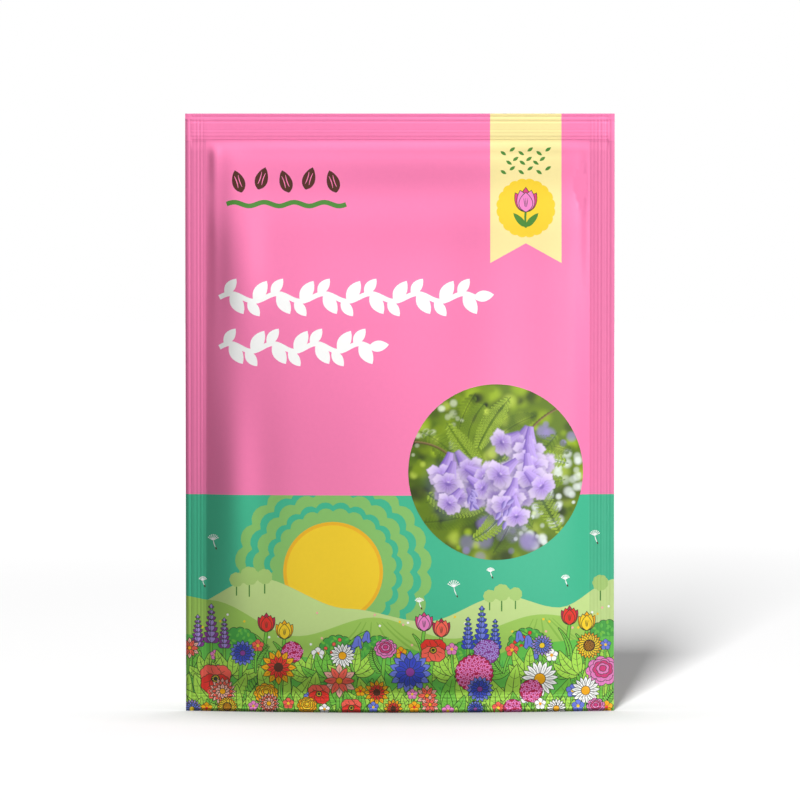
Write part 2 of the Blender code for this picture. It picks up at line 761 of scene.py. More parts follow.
@dataclass(frozen=True)
class FilmFinish:
    """Gravure ink under a clear satin laminate: smooth, faintly mottled and a little wavy."""

    roughness: float = 0.52
    roughness_swing: float = 0.05
    ior: float = 1.5
    gloss: float = 0.32
    mottle_mm: float = 0.9
    mottle: float = 0.025
    mottle_detail: float = 3.0
    ripple_mm: float = 2.4
    ripple_depth: float = 0.006
    ripple_strength: float = 0.5
    ripple_detail: float = 2.0

    def material(self, name: str, colour: str | None = None, depth: float = 1.0) -> bpy.types.Material:
        """Make the finish in one ink, or in the colours of a picture.

        Args:
            name: The material's name.
            colour: The ink's sRGB colour; None takes the mesh's own picture colours.
            depth: A factor on the colour; below 1 it is painted shade and above 1 painted light on the seals'
                inks.

        Returns:
            The node material.
        """
        material, tree, shader = blank_material(name)
        place = node(tree, "TexCoord")
        noise = {"Scale": 1 / (self.mottle_mm * MM), "Detail": self.mottle_detail}
        mottle = node(tree, "TexNoise", noise, {"Vector": (place, "Object")})
        evenness = {"To Min": 1 - self.mottle, "To Max": 1 + self.mottle}
        shade = node(tree, "MapRange", evenness, {"Value": (mottle, "Fac")})
        tint = node(tree, "VectorMath", {}, {"Scale": (shade, "Result")}, operation="SCALE")
        if colour is None:
            picture = node(tree, "Attribute", attribute_name=BlossomPicture.attribute)
            feed(tint, {}, {0: (picture, "Color")})
        else:
            # A depth other than 1 paints shade (darker) or light (lighter) into the ink's colour.
            feed(tint, {0: [depth * part for part in linear(colour)[:3]]})
        noise = {"Scale": 1 / (self.ripple_mm * MM), "Detail": self.ripple_detail}
        ripple = node(tree, "TexNoise", noise, {"Vector": (place, "Object")})
        dull, swing = self.roughness, self.roughness_swing
        satin = {"To Min": dull - swing, "To Max": dull + swing}
        gloss = node(tree, "MapRange", satin, {"Value": (ripple, "Fac")})
        wave = {"Strength": self.ripple_strength, "Distance": self.ripple_depth * MM}
        bump = node(tree, "Bump", wave, {"Height": (ripple, "Fac")})
        feed(
            shader,
            {"IOR": self.ior, "Specular IOR Level": self.gloss},
            {"Base Color": (tint, "Vector"), "Roughness": (gloss, "Result"), "Normal": (bump, "Normal")},
        )
        return material


class FinishCabinet:
    """One film material for each ink and for each other face of the film, made when it is first asked for."""

    def __init__(self, printed: FilmFinish, bare: FilmFinish) -> None:
        """Keep the finishes of the printed face, and of the bare film where it is cut and inside.

        Args:
            printed: The printed face.
            bare: The cut edge and the inside.
        """
        self.printed = printed
        self.bare = bare
        self.made: dict[tuple[Ink | Ply, SealShade], bpy.types.Material] = {}

    def material(self, kind: Ink | Ply, press: SealShade) -> bpy.types.Material:
        """The material of one ink or of one other face, with the painted shade or light of one seal.

        Args:
            kind: The ink or the other face.
            press: The painted shade or light on its ink, as a factor on its colour.

        Returns:
            The material, made once for each look.
        """
        key = (kind, press if isinstance(kind, Ink) else SealShade.NONE)
        if key not in self.made:
            if isinstance(kind, Ink):
                # Seal inks are named for their painted shade or painted light, a factor on the ink's colour.
                film = "laminated" if press is SealShade.NONE else f"{press.name.lower()} pressed"
                name = f"{film} film, {kind.name.lower().replace('_', ' ')} ink"
                self.made[key] = self.printed.material(name, kind.value, press.value)
            elif kind is Ply.PICTURE:
                self.made[key] = self.printed.material("laminated film, four-colour picture")
            elif kind is Ply.CUT_EDGE:
                self.made[key] = self.bare.material("milky film, cut edge", "F3E3E8")
            else:
                self.made[key] = self.bare.material("milky sealing film, inside", "E9EAEC")
        return self.made[key]


@dataclass(frozen=True)
class Rays:
    """How a head of petals is made up.

    Attributes:
        rings: The petals in each ring, and their reach and breadth as shares of the head's radius.
        tip: How far out the petals are widest.
        eye: Radius of the eye as a share of the head's.
    """

    rings: tuple[tuple[int, float, float], ...]
    tip: float
    eye: float


class Bloom(Enum):
    """Kinds of flower head: petals in rings, or the name of a head that is drawn otherwise."""

    LILY = Rays(((6, 1.0, 0.42), (6, 0.86, 0.36)), 0.9, 0.17)
    DAHLIA = Rays(((16, 1.0, 0.3), (14, 0.8, 0.28), (10, 0.56, 0.26)), 1.1, 0.2)
    SUNFLOWER = Rays(((20, 1.0, 0.3), (20, 0.84, 0.28)), 1.0, 0.42)
    CORNFLOWER = Rays(((15, 1.0, 0.3), (12, 0.72, 0.28)), 1.8, 0.2)
    DAISY = Rays(((17, 1.0, 0.24),), 1.5, 0.3)
    GAZANIA = Rays(((12, 1.0, 0.34), (12, 0.66, 0.22)), 1.2, 0.24)
    ASTER = Rays(((18, 1.0, 0.22), (14, 0.74, 0.22)), 1.4, 0.24)
    GLOBE = "globe"
    POPPY = "poppy"
    PEONY = "peony"


HEADS = (
    (Bloom.LILY, Ink.BLUSH, Ink.CORAL, Ink.GOLD),
    (Bloom.SUNFLOWER, Ink.GOLD, Ink.SUN, Ink.BARK),
    (Bloom.DAISY, Ink.WHITE, Ink.WHITE, Ink.GOLD),
    (Bloom.POPPY, Ink.SCARLET, Ink.CORAL, Ink.LINE),
    (Bloom.GLOBE, Ink.LAVENDER, Ink.PLUM, Ink.LINE),
    (Bloom.CORNFLOWER, Ink.PERIWINKLE, Ink.COBALT, Ink.PLUM),
    (Bloom.DAHLIA, Ink.BLUSH, Ink.CORAL, Ink.GOLD),
    (Bloom.PEONY, Ink.ORCHID, Ink.MAGENTA, Ink.LINE),
    (Bloom.GAZANIA, Ink.GOLD, Ink.SCARLET, Ink.BARK),
    (Bloom.ASTER, Ink.LAVENDER, Ink.PERIWINKLE, Ink.SUN),
    (Bloom.GLOBE, Ink.ORCHID, Ink.CRIMSON, Ink.LINE),
    (Bloom.PEONY, Ink.GOLD, Ink.SUN, Ink.LINE),
    (Bloom.POPPY, Ink.CORAL, Ink.SCARLET, Ink.LINE),
)
POSIES = (
    (Ink.WHITE, Ink.GOLD), (Ink.ORCHID, Ink.SUN), (Ink.PERIWINKLE, Ink.SUN), (Ink.CORAL, Ink.SUN),
    (Ink.GOLD, Ink.SCARLET),
)


class Meadow:
    """Draws flowers, leaves and hills on a sheet."""

    ends: tuple[float, float] = (-50.5, 51.0)

    def __init__(self, sheet: PrintLayout, seed: int) -> None:
        """Keep the sheet that it draws on and its own run of chance."""
        self.sheet = sheet
        self.chance = random.Random(seed)

    def leaf(self, base: complex, tip: complex, width: float, bend: float, ink: Ink = Ink.LEAF) -> None:
        """A bent leaf with a midrib and side veins.

        Args:
            base: Where it grows from.
            tip: Where it ends.
            width: Its breadth.
            bend: How far it bends to the left.
            ink: Its ink.
        """
        spine = arc(base, tip, bend, 11)
        t = np.linspace(0, 1, len(spine))
        breadth = width * np.sin(np.pi * t ** 0.8) ** 0.8 + 0.12
        self.sheet.inked(ink, ribbon(spine, breadth))
        self.sheet.stroke(Ink.LINE, spine[1:-1], 0.16)
        along = headings(spine)
        for n in (3, 5, 7):
            for way in (1, -1):
                end = spine[n] + (0.36 * width * way * 1j + 0.22 * width) * along[n]
                self.sheet.stroke(Ink.MOSS, arc(spine[n], end, 0.08 * way, 4), 0.13)

    def frond(self, foot: complex, tip: complex, width: float, bend: float) -> None:
        """A fern leaf: leaflets in pairs along a bent rib.

        Args:
            foot: Where it grows from.
            tip: Where it ends.
            width: Reach of its leaflets.
            bend: How far it bends to the left.
        """
        spine = arc(foot, tip, bend, 15)
        along = headings(spine)
        for n in range(2, 15):
            reach = width * math.sin(math.pi * (n / 15) ** 0.7) ** 0.6
            for way in (1, -1):
                turn = math.degrees(np.angle(along[n])) + 52 * way
                leaflet = petal(spine[n], turn, reach, reach * 0.34, 0.9, 0.8, 5)
                self.sheet.inked(Ink.STEM, leaflet, 0.1)
        self.sheet.stroke(Ink.LINE, spine, 0.22)

    def vein(self, centre: complex, turn: float, near: float, far: float, width: float, steps: int = 4,
             sag: float = 0.0) -> None:
        """A drawn line that points away from a centre, between two distances from it."""
        line = arc(centre + polar(near, turn), centre + polar(far, turn), sag, steps)
        self.sheet.stroke(Ink.LINE, line, width)

    def stem(self, foot: complex, head: complex, width: float = 0.6, sag: float = 0.04) -> None:
        """A stalk from the ground to a flower head."""
        self.sheet.inked(Ink.STEM, ribbon(arc(foot, head, sag), width), 0.12)

    def tulip(self, base: complex, size: float, inner: Ink, outer: Ink) -> None:
        """A closed cup of overlapping petals.

        Args:
            base: Where it sits on its stem.
            size: Its height.
            inner: The inner petals' ink.
            outer: The outer petals' ink.
        """
        for turn, length, width, ink in (
            (120, 0.94, 0.46, inner), (60, 0.94, 0.46, inner), (90, 1.06, 0.5, inner),
            (105, 0.96, 0.56, outer), (75, 0.96, 0.56, outer), (90, 0.84, 0.6, outer),
        ):
            self.sheet.inked(ink, petal(base, turn, size * length, size * width, 0.8, 0.8, 8))
        for turn in (81, 90, 99):
            self.vein(base, turn, 0.2 * size, 0.6 * size, 0.13, 9)

    def rayed(self, centre: complex, size: float, rays: Rays, light: Ink, dark: Ink, eye: Ink) -> None:
        """Rings of petals around an eye, in two inks by turns.

        Args:
            centre: Its middle.
            size: Its radius.
            rays: How it is made up.
            light: The outer ring's ink.
            dark: The next ring's ink.
            eye: The eye's ink.
        """
        for number, (count, reach, breadth) in enumerate(rays.rings):
            for k in range(count):
                turn = 360 * (k + 0.5 * number) / count + 90
                shape = petal(centre, turn, size * reach, size * breadth, rays.tip)
                self.sheet.inked(dark if number % 2 else light, shape)
                self.vein(centre, turn, 0.45 * size * reach, 0.8 * size * reach, 0.1)
        self.sheet.inked(eye, disc(centre, size * rays.eye))
        for k in range(50 if rays.eye > 0.4 else 0):
            self.sheet.lay(Ink.GOLD, disc(centre + spiral(k, 50, 0.9 * rays.eye * size), 0.09, 5))

    def poppy(self, centre: complex, size: float, light: Ink, dark: Ink) -> None:
        """Broad crinkled petals around a dark, dotted eye.

        Args:
            centre: Its middle.
            size: Its radius.
            light: The paler ink.
            dark: The darker ink.
        """
        for turn in (40, 140, 228, 312):
            middle = centre + polar(0.42 * size, turn)
            crumpled = scalloped(middle, 0.66 * size, 7, 0.1, 0.9, turn)
            self.sheet.inked(dark if turn in (40, 140) else light, crumpled)
            for lean in (-28, 0, 28):
                self.vein(centre, turn + lean, 0.36 * size, 0.78 * size, 0.11, 4, 0.06)
        self.sheet.inked(Ink.LINE, disc(centre, 0.24 * size))
        for k in range(9):
            self.sheet.lay(Ink.SUN, disc(centre + polar(0.17 * size, 40 * k), 0.045 * size, 6))

    def globe(self, centre: complex, size: float, light: Ink, dark: Ink) -> None:
        """A round head of small crossed florets, close together from the middle outwards.

        Args:
            centre: Its middle.
            size: Its radius.
            light: The paler ink.
            dark: The darker ink.
        """
        florets = round(3.4 * size ** 2)
        floret = size / math.sqrt(florets)
        self.sheet.inked(dark, scalloped(centre, size, 22, 0.07))
        for k in range(florets, 0, -1):
            middle = centre + spiral(k, florets, 0.93 * size)
            for quarter in (20, 110, 200, 290):
                turn = quarter + GOLDEN_TURN * k
                self.sheet.lay(light, petal(middle, turn, floret, floret * 0.7, 1.2, 0.75, 4))
            self.sheet.lay(Ink.LINE, disc(middle, floret * 0.2, 5))

    def spike(self, foot: complex, height: float, light: Ink, dark: Ink) -> None:
        """A tall spike of small cups that narrows to its tip.

        Args:
            foot: Where it stands.
            height: Its height.
            light: The paler ink.
            dark: The darker ink.
        """
        width = 0.15 * height
        self.stem(foot, foot + 1j * height, 0.5, 0.0)
        for share in np.linspace(0, 1, 7):
            level = foot + 1j * height * (0.38 + 0.6 * share)
            reach = width * (1 - 0.72 * share)
            for way, lean in ((-1, 150), (1, 30), (-0.35, 105), (0.35, 75)):
                ink = dark if abs(way) == 1 else light
                self.sheet.inked(ink, petal(level + 0.12 * way, lean, reach, reach * 0.62, 1.1, 0.8, 5), 0.12)
        self.sheet.inked(light, petal(foot + 1j * height * 0.97, 90, width * 0.5, width * 0.3), 0.12)

    def peony(self, centre: complex, size: float, rim: Ink, heart: Ink) -> None:
        """Cupped petals that close in rings around a dense heart.

        Args:
            centre: Its middle.
            size: Its radius.
            rim: The outer petals' ink.
            heart: The heart's ink.
        """
        for lobes, reach, rise, ink in (
            (9, 1.0, 0.0, rim), (8, 0.78, 0.05, rim), (7, 0.58, 0.1, heart),
            (5, 0.38, 0.13, rim), (4, 0.2, 0.15, heart),
        ):
            middle = centre + 1j * rise * size
            self.sheet.inked(ink, scalloped(middle, reach * size, lobes, 0.16, 0.86, 360 * reach))
        for turn in range(20, 380, 40):
            self.vein(centre, turn, 0.84 * size, 0.96 * size, 0.12)

    def bells(self, foot: complex, height: float, count: int, ink: Ink, way: int) -> None:
        """An arching stalk with bells that hang from it.

        Args:
            foot: Where it stands.
            height: Its height.
            count: The number of bells.
            ink: Its ink.
            way: 1 where it leans to the right, -1 to the left.
        """
        top = foot + complex(way * 0.42 * height, height * 0.86)
        stalk = arc(foot, top, 0.22 * way, 14)
        self.sheet.inked(Ink.STEM, ribbon(stalk, 0.45), 0.12)
        half, down = np.array([0.1, 0.27, 0.33, 0.42]), -1j * np.array([0, 0.25, 0.6, 0.9])
        hem = np.linspace(-0.5, 0.5, 5) - 1j + 0.13j * np.cos(np.linspace(0, 4 * np.pi, 5))
        bell = np.concatenate([down - half, hem, (down + half)[::-1]]) * polar(1, -8 * way)
        for k in range(count):
            hook = stalk[round((0.45 + 0.55 * k / (count - 1)) * (len(stalk) - 1))]
            size = height * (0.27 - 0.03 * k)
            self.sheet.inked(ink, hook + bell * size, 0.13)
            self.sheet.stroke(Ink.LINE, hook + np.linspace(-0.2j, -0.8j, 4) * size, 0.1)

    def posy(self, centre: complex, size: float, ink: Ink, eye: Ink = Ink.SUN) -> None:
        """A small five-petalled flower.

        Args:
            centre: Its middle.
            size: Its radius.
            ink: Its ink.
            eye: The eye's ink.
        """
        for k in range(5):
            self.sheet.inked(ink, petal(centre, 72 * k + 18, size, size * 0.8, 1.5, 0.7, 6), 0.1)
        self.sheet.lay(eye, disc(centre, 0.26 * size, 8))

    def fan(self, foot: complex, size: float, ink: Ink) -> None:
        """Broad leaves that spread from one foot, the outer ones lower.

        Args:
            foot: Where it stands.
            size: Length of its leaves.
            ink: Its ink.
        """
        for turn, bend in ((24, -0.14), (156, 0.14), (58, -0.1), (122, 0.1), (88, 0.04)):
            tip = foot + polar(size * self.chance.uniform(0.8, 1.1), turn + self.chance.uniform(-8, 8))
            self.leaf(foot, tip, 0.34 * size, bend, ink)

    def bed(self, row: int, level: float, size: float, step: float) -> None:
        """A row of the flower bed, a little out of line: leaves, small flowers, and then large heads.

        Args:
            row: Its number from the far edge; every row starts with another kind.
            level: Height of its heads.
            size: Radius of its heads.
            step: Distance between them.
        """
        left, right = self.ends
        drawn = {Bloom.GLOBE: self.globe, Bloom.POPPY: self.poppy, Bloom.PEONY: self.peony}
        for n, x in enumerate(np.arange(left, right, 0.5 * step)):
            foot = complex(x + self.chance.uniform(-1, 1), level - self.chance.uniform(1.8, 2.3) * size)
            if (n + row) % 5 == 3:
                tip = foot + complex(self.chance.choice((-1, 1)) * size, 2.2 * size)
                self.frond(foot, tip, 0.5 * size, 0.14)
            else:
                self.fan(foot, 2.4 * size, (Ink.LEAF, Ink.STEM)[(n + row) % 3 == 0])
            if n % 2:
                ink, eye = POSIES[(n + row) % len(POSIES)]
                spot = foot + complex(self.chance.uniform(-2, 2), self.chance.uniform(1.7, 2.3) * size)
                self.stem(foot, spot, 0.4)
                self.posy(spot, self.chance.uniform(1.2, 1.7), ink, eye)
        for n, x in enumerate(np.arange(left + step * (0.1 + 0.3 * (row % 3)), right, step)):
            bloom, light, dark, eye = HEADS[(5 * n + 3 * row) % len(HEADS)]
            aside = self.chance.uniform(-0.12, 0.12) * step
            head = complex(x + aside, level + self.chance.uniform(-0.4, 0.4) * size)
            self.stem(head.real - 2j, head, 0.7)
            radius = size * self.chance.uniform(0.84, 1.12)
            if isinstance(bloom.value, Rays):
                self.rayed(head, radius, bloom.value, light, dark, eye)
            else:
                drawn[bloom](head, radius, light, dark)

    def bush(self, centre: complex, radius: float, berries: Ink | None = None) -> None:
        """A round bush with leaves scattered over it, and berries if it has any.

        Args:
            centre: Its middle.
            radius: Half its width.
            berries: The berries' ink.
        """
        self.sheet.inked(Ink.SHADE, scalloped(centre, radius, 15, 0.09, 0.85), 0.14)
        for k in range(26):
            spot = polar(0.84 * radius * math.sqrt((k + 0.5) / 26), GOLDEN_TURN * k)
            spot = centre + complex(spot.real, 0.82 * spot.imag)
            ink = (Ink.MEADOW, Ink.STEM, Ink.MEADOW)[k % 3]
            self.sheet.lay(ink, petal(spot, self.chance.uniform(20, 160), 1.15, 0.62, 0.9, 0.8, 5))
        for k in range(10 if berries else 0):
            spot = polar(0.8 * radius * math.sqrt((k + 0.5) / 10), GOLDEN_TURN * k + 60)
            berry = centre + complex(spot.real, 0.82 * spot.imag)
            self.sheet.inked(berries, disc(berry, 0.42, 8), 0.1)

    def tuft(self, foot: complex, size: float) -> None:
        """Blades of grass from one root.

        Args:
            foot: Where it stands.
            size: Length of its blades.
        """
        for turn in (58, 78, 100, 124):
            tip = foot + polar(size * self.chance.uniform(0.7, 1.1), turn)
            self.sheet.stroke(Ink.SHADE, arc(foot, tip, 0.1 if turn > 90 else -0.1, 5), 0.28, 0.9)

    def ridge(self, ink: Ink, crests: Sequence[float]) -> None:
        """A rolling hill that passes smoothly through crests and dips, given as x and z by turns.

        Args:
            ink: Its ink.
            crests: The places, from left to right.
        """
        across, up = np.array(crests[::2]), np.array(crests[1::2])
        left, right = -self.sheet.width / 2 - 1, self.sheet.width / 2 + 1
        x = np.linspace(left, right, 60)
        place = np.clip(np.searchsorted(across, x, side="right") - 1, 0, len(across) - 2)
        share = (x - across[place]) / (across[place + 1] - across[place])
        z = up[place] + (up[place + 1] - up[place]) * ease(share)
        self.sheet.lay(ink, np.concatenate([x + 1j * z, [right - 5j, left - 5j]]))


@dataclass(frozen=True)
class FilmPrint:
    """What both films share: rose above the horizon and teal below it."""

    sheet: PrintLayout
    horizon: float = 50.7

    def ground(self) -> None:
        """Lay the two ground colours."""
        half = self.sheet.width / 2 + 1
        self.sheet.lay(Ink.ROSE, rounded_bar(-half, -1, half, self.sheet.height + 1, 0.4))
        self.sheet.lay(Ink.TEAL, rounded_bar(-half, -1, half, self.horizon, 0.01))


@dataclass(frozen=True)
class FrontPrint(FilmPrint):
    """The front: leaf sprays, a cream tag and a row of seeds above, a garden in the sun below."""

    # Hills from the farthest: their ink, and x and z of their crests and dips by turns.
    hills: Sequence[tuple[Ink, Sequence[float]]] = (
        (Ink.PALE_HILL, (-51, 24, -33, 31.5, -12, 24.5, 6, 21.5, 24, 27.5, 37, 24.5, 51, 31)),
        (Ink.MID_HILL, (-51, 27.0, -44, 26.0, -24, 18.0, -6, 22.5, 12, 17.5, 33, 23.0, 51, 20)),
        (Ink.MEADOW, (-51, 18.0, -37, 15.5, -20, 13.0, -2, 15.5, 16, 12.5, 34, 16.5, 51, 17.5)),
    )
    # Across, up and size of each seed plume and of each far tree, and berries too for each bush.
    plumes: Sequence[tuple[float, float, float]] = (
        (12.5, 29.5, 1.5), (4.5, 26.0, 1.0), (21.0, 33.0, 0.9), (45.5, 41.0, 1.2), (-43.5, 40.0, 1.3),
        (38.5, 31.0, 1.0), (-46.0, 30.5, 0.9),
    )
    trees: Sequence[tuple[float, float, float]] = (
        (-38, 31.0, 1.7), (-35, 31.9, 2.2), (-31.4, 31.8, 1.8), (20.8, 27.4, 1.5), (23.6, 28.2, 2.0),
        (26.8, 27.8, 1.6), (46.8, 30.0, 1.9),
    )
    bushes: Sequence[tuple[float, float, float, Ink | None]] = (
        (-37.5, 16.0, 4.6, None), (-14.5, 14.6, 4.4, Ink.CORAL), (-5.0, 15.0, 3.8, None),
        (29.6, 16.0, 4.6, Ink.SCARLET), (15.0, 13.6, 3.8, None), (48.6, 17.6, 4.4, None),
    )
    # Across and up of each far tulip, and the inks of its inner and outer petals.
    tulips: Sequence[tuple[float, float, Ink, Ink]] = (
        (-31, 19, Ink.CRIMSON, Ink.SCARLET), (-26.8, 17.4, Ink.GOLD, Ink.SUN),
        (5.6, 19.4, Ink.MAGENTA, Ink.ORCHID), (9.6, 18, Ink.CRIMSON, Ink.CORAL),
        (39.5, 20.5, Ink.CRIMSON, Ink.SCARLET), (43.6, 19, Ink.GOLD, Ink.SUN),
    )
    # Height, size and spacing of the heads in each row of the bed, from the farthest.
    bed_rows: Sequence[tuple[float, float, float]] = (
        (14.6, 2.8, 11.6), (9.2, 4.4, 15.2), (4.6, 3.0, 12.2), (1.2, 2.2, 9.6),
    )
    sun: complex = complex(-15.5, 33.0)
    sun_radius: float = 10.8
    sun_rim: float = 0.8
    halo_radii: tuple[float, ...] = (23.0, 20.6, 18.8, 16.2, 14.8)
    tag_edges: tuple[float, float] = (21.0, 37.6)
    tag_tip: float = 104.6
    tag_notch: float = 109.2
    tag_tulip: float = 117.4
    tag_leaflets: float = 130.6

    def draw(self) -> None:
        """Lay the whole front, from the ground colours to the nearest flowers."""
        self.ground()
        self.sky()
        self.garden()
        self.tag()
        self.sprays()
        self.seed_row()

    def sky(self) -> None:
        """A sun low on the left, in rings of pale light, and drifting seed plumes."""
        middle = self.sun
        for number, radius in enumerate(self.halo_radii):
            ring = scalloped(middle, radius, 24, 0.055, steps_per_lobe=5)
            over = ring.imag > self.horizon
            ring[over] = ring[over].real + 1j * self.horizon
            self.sheet.lay(Ink.TEAL if number % 2 else Ink.HALO, ring)
        for ink, radius in ((Ink.SUN_RIM, self.sun_radius + self.sun_rim), (Ink.SUN, self.sun_radius)):
            self.sheet.lay(ink, disc(middle, radius, 60))
        for x, z, size in self.plumes:
            self.plume(complex(x, z), size)

    def plume(self, place: complex, size: float) -> None:
        """A drifting seed under its tuft of white hairs.

        Args:
            place: Where its hairs meet.
            size: Length of the hairs.
        """
        foot = place + polar(1.5 * size, -70)
        self.sheet.stroke(Ink.WHITE, arc(foot, place, 0.05, 5), 0.2)
        for turn in range(30, 151, 20):
            tip = place + polar(size, turn)
            self.sheet.stroke(Ink.WHITE, arc(place, tip, 0.03, 4), 0.18)
            self.sheet.lay(Ink.WHITE, disc(tip, 0.16, 6))
        self.sheet.lay(Ink.BARK, ellipse(foot, 0.32, 0.16, 110, 8))

    def garden(self) -> None:
        """Hills, and the flower bed in front of them."""
        meadow = Meadow(self.sheet, 11)
        far, middle, near = self.hills
        meadow.ridge(*far)
        for x, z, size in self.trees:
            self.sheet.lay(Ink.MOSS, ribbon(np.linspace(complex(x, z - 2.2 * size), complex(x, z), 3), 0.3))
            self.sheet.lay(Ink.PALE_TREE, scalloped(complex(x, z), size, 9, 0.08))
        meadow.ridge(*middle)
        for k in range(6):
            for top, foot in (
                (complex(-9 + 1.2 * k, 21.4), complex(-26 + 8.5 * k, 12)),
                (complex(31 + 0.9 * k, 22.0), complex(17 + 8.0 * k, 12)),
            ):
                self.sheet.stroke(Ink.FURROW, arc(top, foot, 0.05 * (3 - k)), 0.5)
        for k in range(44):
            spot = complex(meadow.chance.uniform(-49, 49), meadow.chance.uniform(15.5, 24.5))
            self.sheet.lay((Ink.WHITE, Ink.SUN, Ink.BLUSH)[k % 3], disc(spot, 0.3, 7))
        for x, z, radius, berries in self.bushes:
            meadow.bush(complex(x, z), radius, berries)
        meadow.ridge(*near)
        for _ in range(70):
            spot = complex(meadow.chance.uniform(-49.5, 49.5), meadow.chance.uniform(0.5, 13.5))
            meadow.tuft(spot, meadow.chance.uniform(1.0, 1.9))
        self.far_flowers(meadow)
        for row, (level, size, step) in enumerate(self.bed_rows):
            meadow.bed(row, level, size, step)

    def far_flowers(self, meadow: Meadow) -> None:
        """Spikes, tulips and bells that stand up behind the bed.

        Args:
            meadow: What draws them.
        """
        for x, light, dark in ((-44, Ink.LAVENDER, Ink.PLUM), (19, Ink.PERIWINKLE, Ink.COBALT)):
            for side, height in ((-3.2, 11), (0, 13.5), (3.1, 10.5)):
                meadow.spike(complex(x + side, 11), height, light, dark)
        for x, z, light, dark in self.tulips:
            meadow.stem(complex(x, 9), complex(x, z))
            meadow.leaf(complex(x, 10.5), complex(x - 2.6, z - 0.8), 1.0, -0.12, Ink.STEM)
            meadow.tulip(complex(x, z), 4.0, light, dark)
        for x, way in ((-13, 1), (33, -1)):
            meadow.bells(complex(x, 8), 13, 4, Ink.PERIWINKLE, way)

    def tag(self) -> None:
        """A cream swallow-tailed tag from the top edge, with a tulip in a gold round."""
        left, right = self.tag_edges
        middle, tip = (left + right) / 2, self.tag_tip
        top = self.sheet.height + 1
        corners = ((left, top), (left, tip), (middle, self.tag_notch), (right, tip), (right, top))
        self.sheet.lay(Ink.CREAM, np.array([complex(x, z) for x, z in corners]))
        for row, length in enumerate((10.4, 7.8, 10.4)):
            level = self.tag_leaflets - 2.2 * row
            for k in range(6):
                x = middle + length * (k / 5 - 0.5)
                turn = 35 if k % 2 else -35
                self.sheet.lay(Ink.MOSS, petal(complex(x - 0.65, level), turn, 1.6, 0.75, 0.9, 0.75, 5))
        centre = complex(middle, self.tag_tulip)
        self.sheet.lay(Ink.SUN, scalloped(centre, 6.9, 20, 0.05))
        meadow = Meadow(self.sheet, 3)
        self.sheet.lay(Ink.MOSS, ribbon(arc(centre - 4.6j, centre - 0.4j, 0.03), 0.5))
        for way in (1, -1):
            self.sheet.lay(Ink.MOSS, petal(centre - 4.4j, 90 - 42 * way, 4.4, 1.5, 0.8))
        meadow.tulip(centre - 0.8j, 5.2, Ink.MAGENTA, Ink.ORCHID)

    def sprays(self) -> None:
        """Two rows of bold white leaf sprays, the lower one shorter."""
        for level, start, end in ((96.6, -42.0, 17.6), (85.0, -42.0, -6.8)):
            count = round((end - start) / 5.2)
            step = (end - start) / count
            x = np.linspace(start, end, 6 * count + 1)
            vine = x + 1j * (level + 0.9 * np.sin((x - start) / step * np.pi))
            self.sheet.lay(Ink.WHITE, ribbon(vine, 1.15))
            for k in range(count):
                root = vine[6 * k + 3]
                way = 1 if k % 2 else -1
                self.sheet.lay(Ink.WHITE, petal(root, 58 * way, 5.6, 3.0, 0.9, 0.8, 9))
                self.sheet.lay(Ink.WHITE, petal(root - 1.4, -52 * way, 4.4, 2.4, 0.9, 0.8, 9))
            self.sheet.lay(Ink.WHITE, petal(vine[-1] - 0.5, 8, 4.8, 2.6, 0.9, 0.8, 9))

    def seed_row(self) -> None:
        """A row of brown seeds over a thin green wave."""
        for k in range(5):
            seed = complex(-37.6 + 5.5 * k, 123.6 + 0.7 * (k % 2))
            turn = 72 if k % 2 else 108
            self.sheet.lay(Ink.BARK, petal(seed - polar(2.7, turn), turn, 5.4, 3.0, 0.8, 0.75, 10))
            for lean in (-0.5, 0.45):
                middle = seed + lean * polar(1, turn - 90)
                stripe = arc(middle - polar(1.5, turn), middle + polar(1.4, turn), 0.1 * lean)
                self.sheet.stroke(Ink.ROSE, stripe, 0.22)
        x = np.linspace(-40.3, -12.5, 40)
        self.sheet.lay(Ink.MOSS, ribbon(x + 1j * (118.3 + 0.45 * np.sin((x + 40.3) * 0.9)), 1.1))


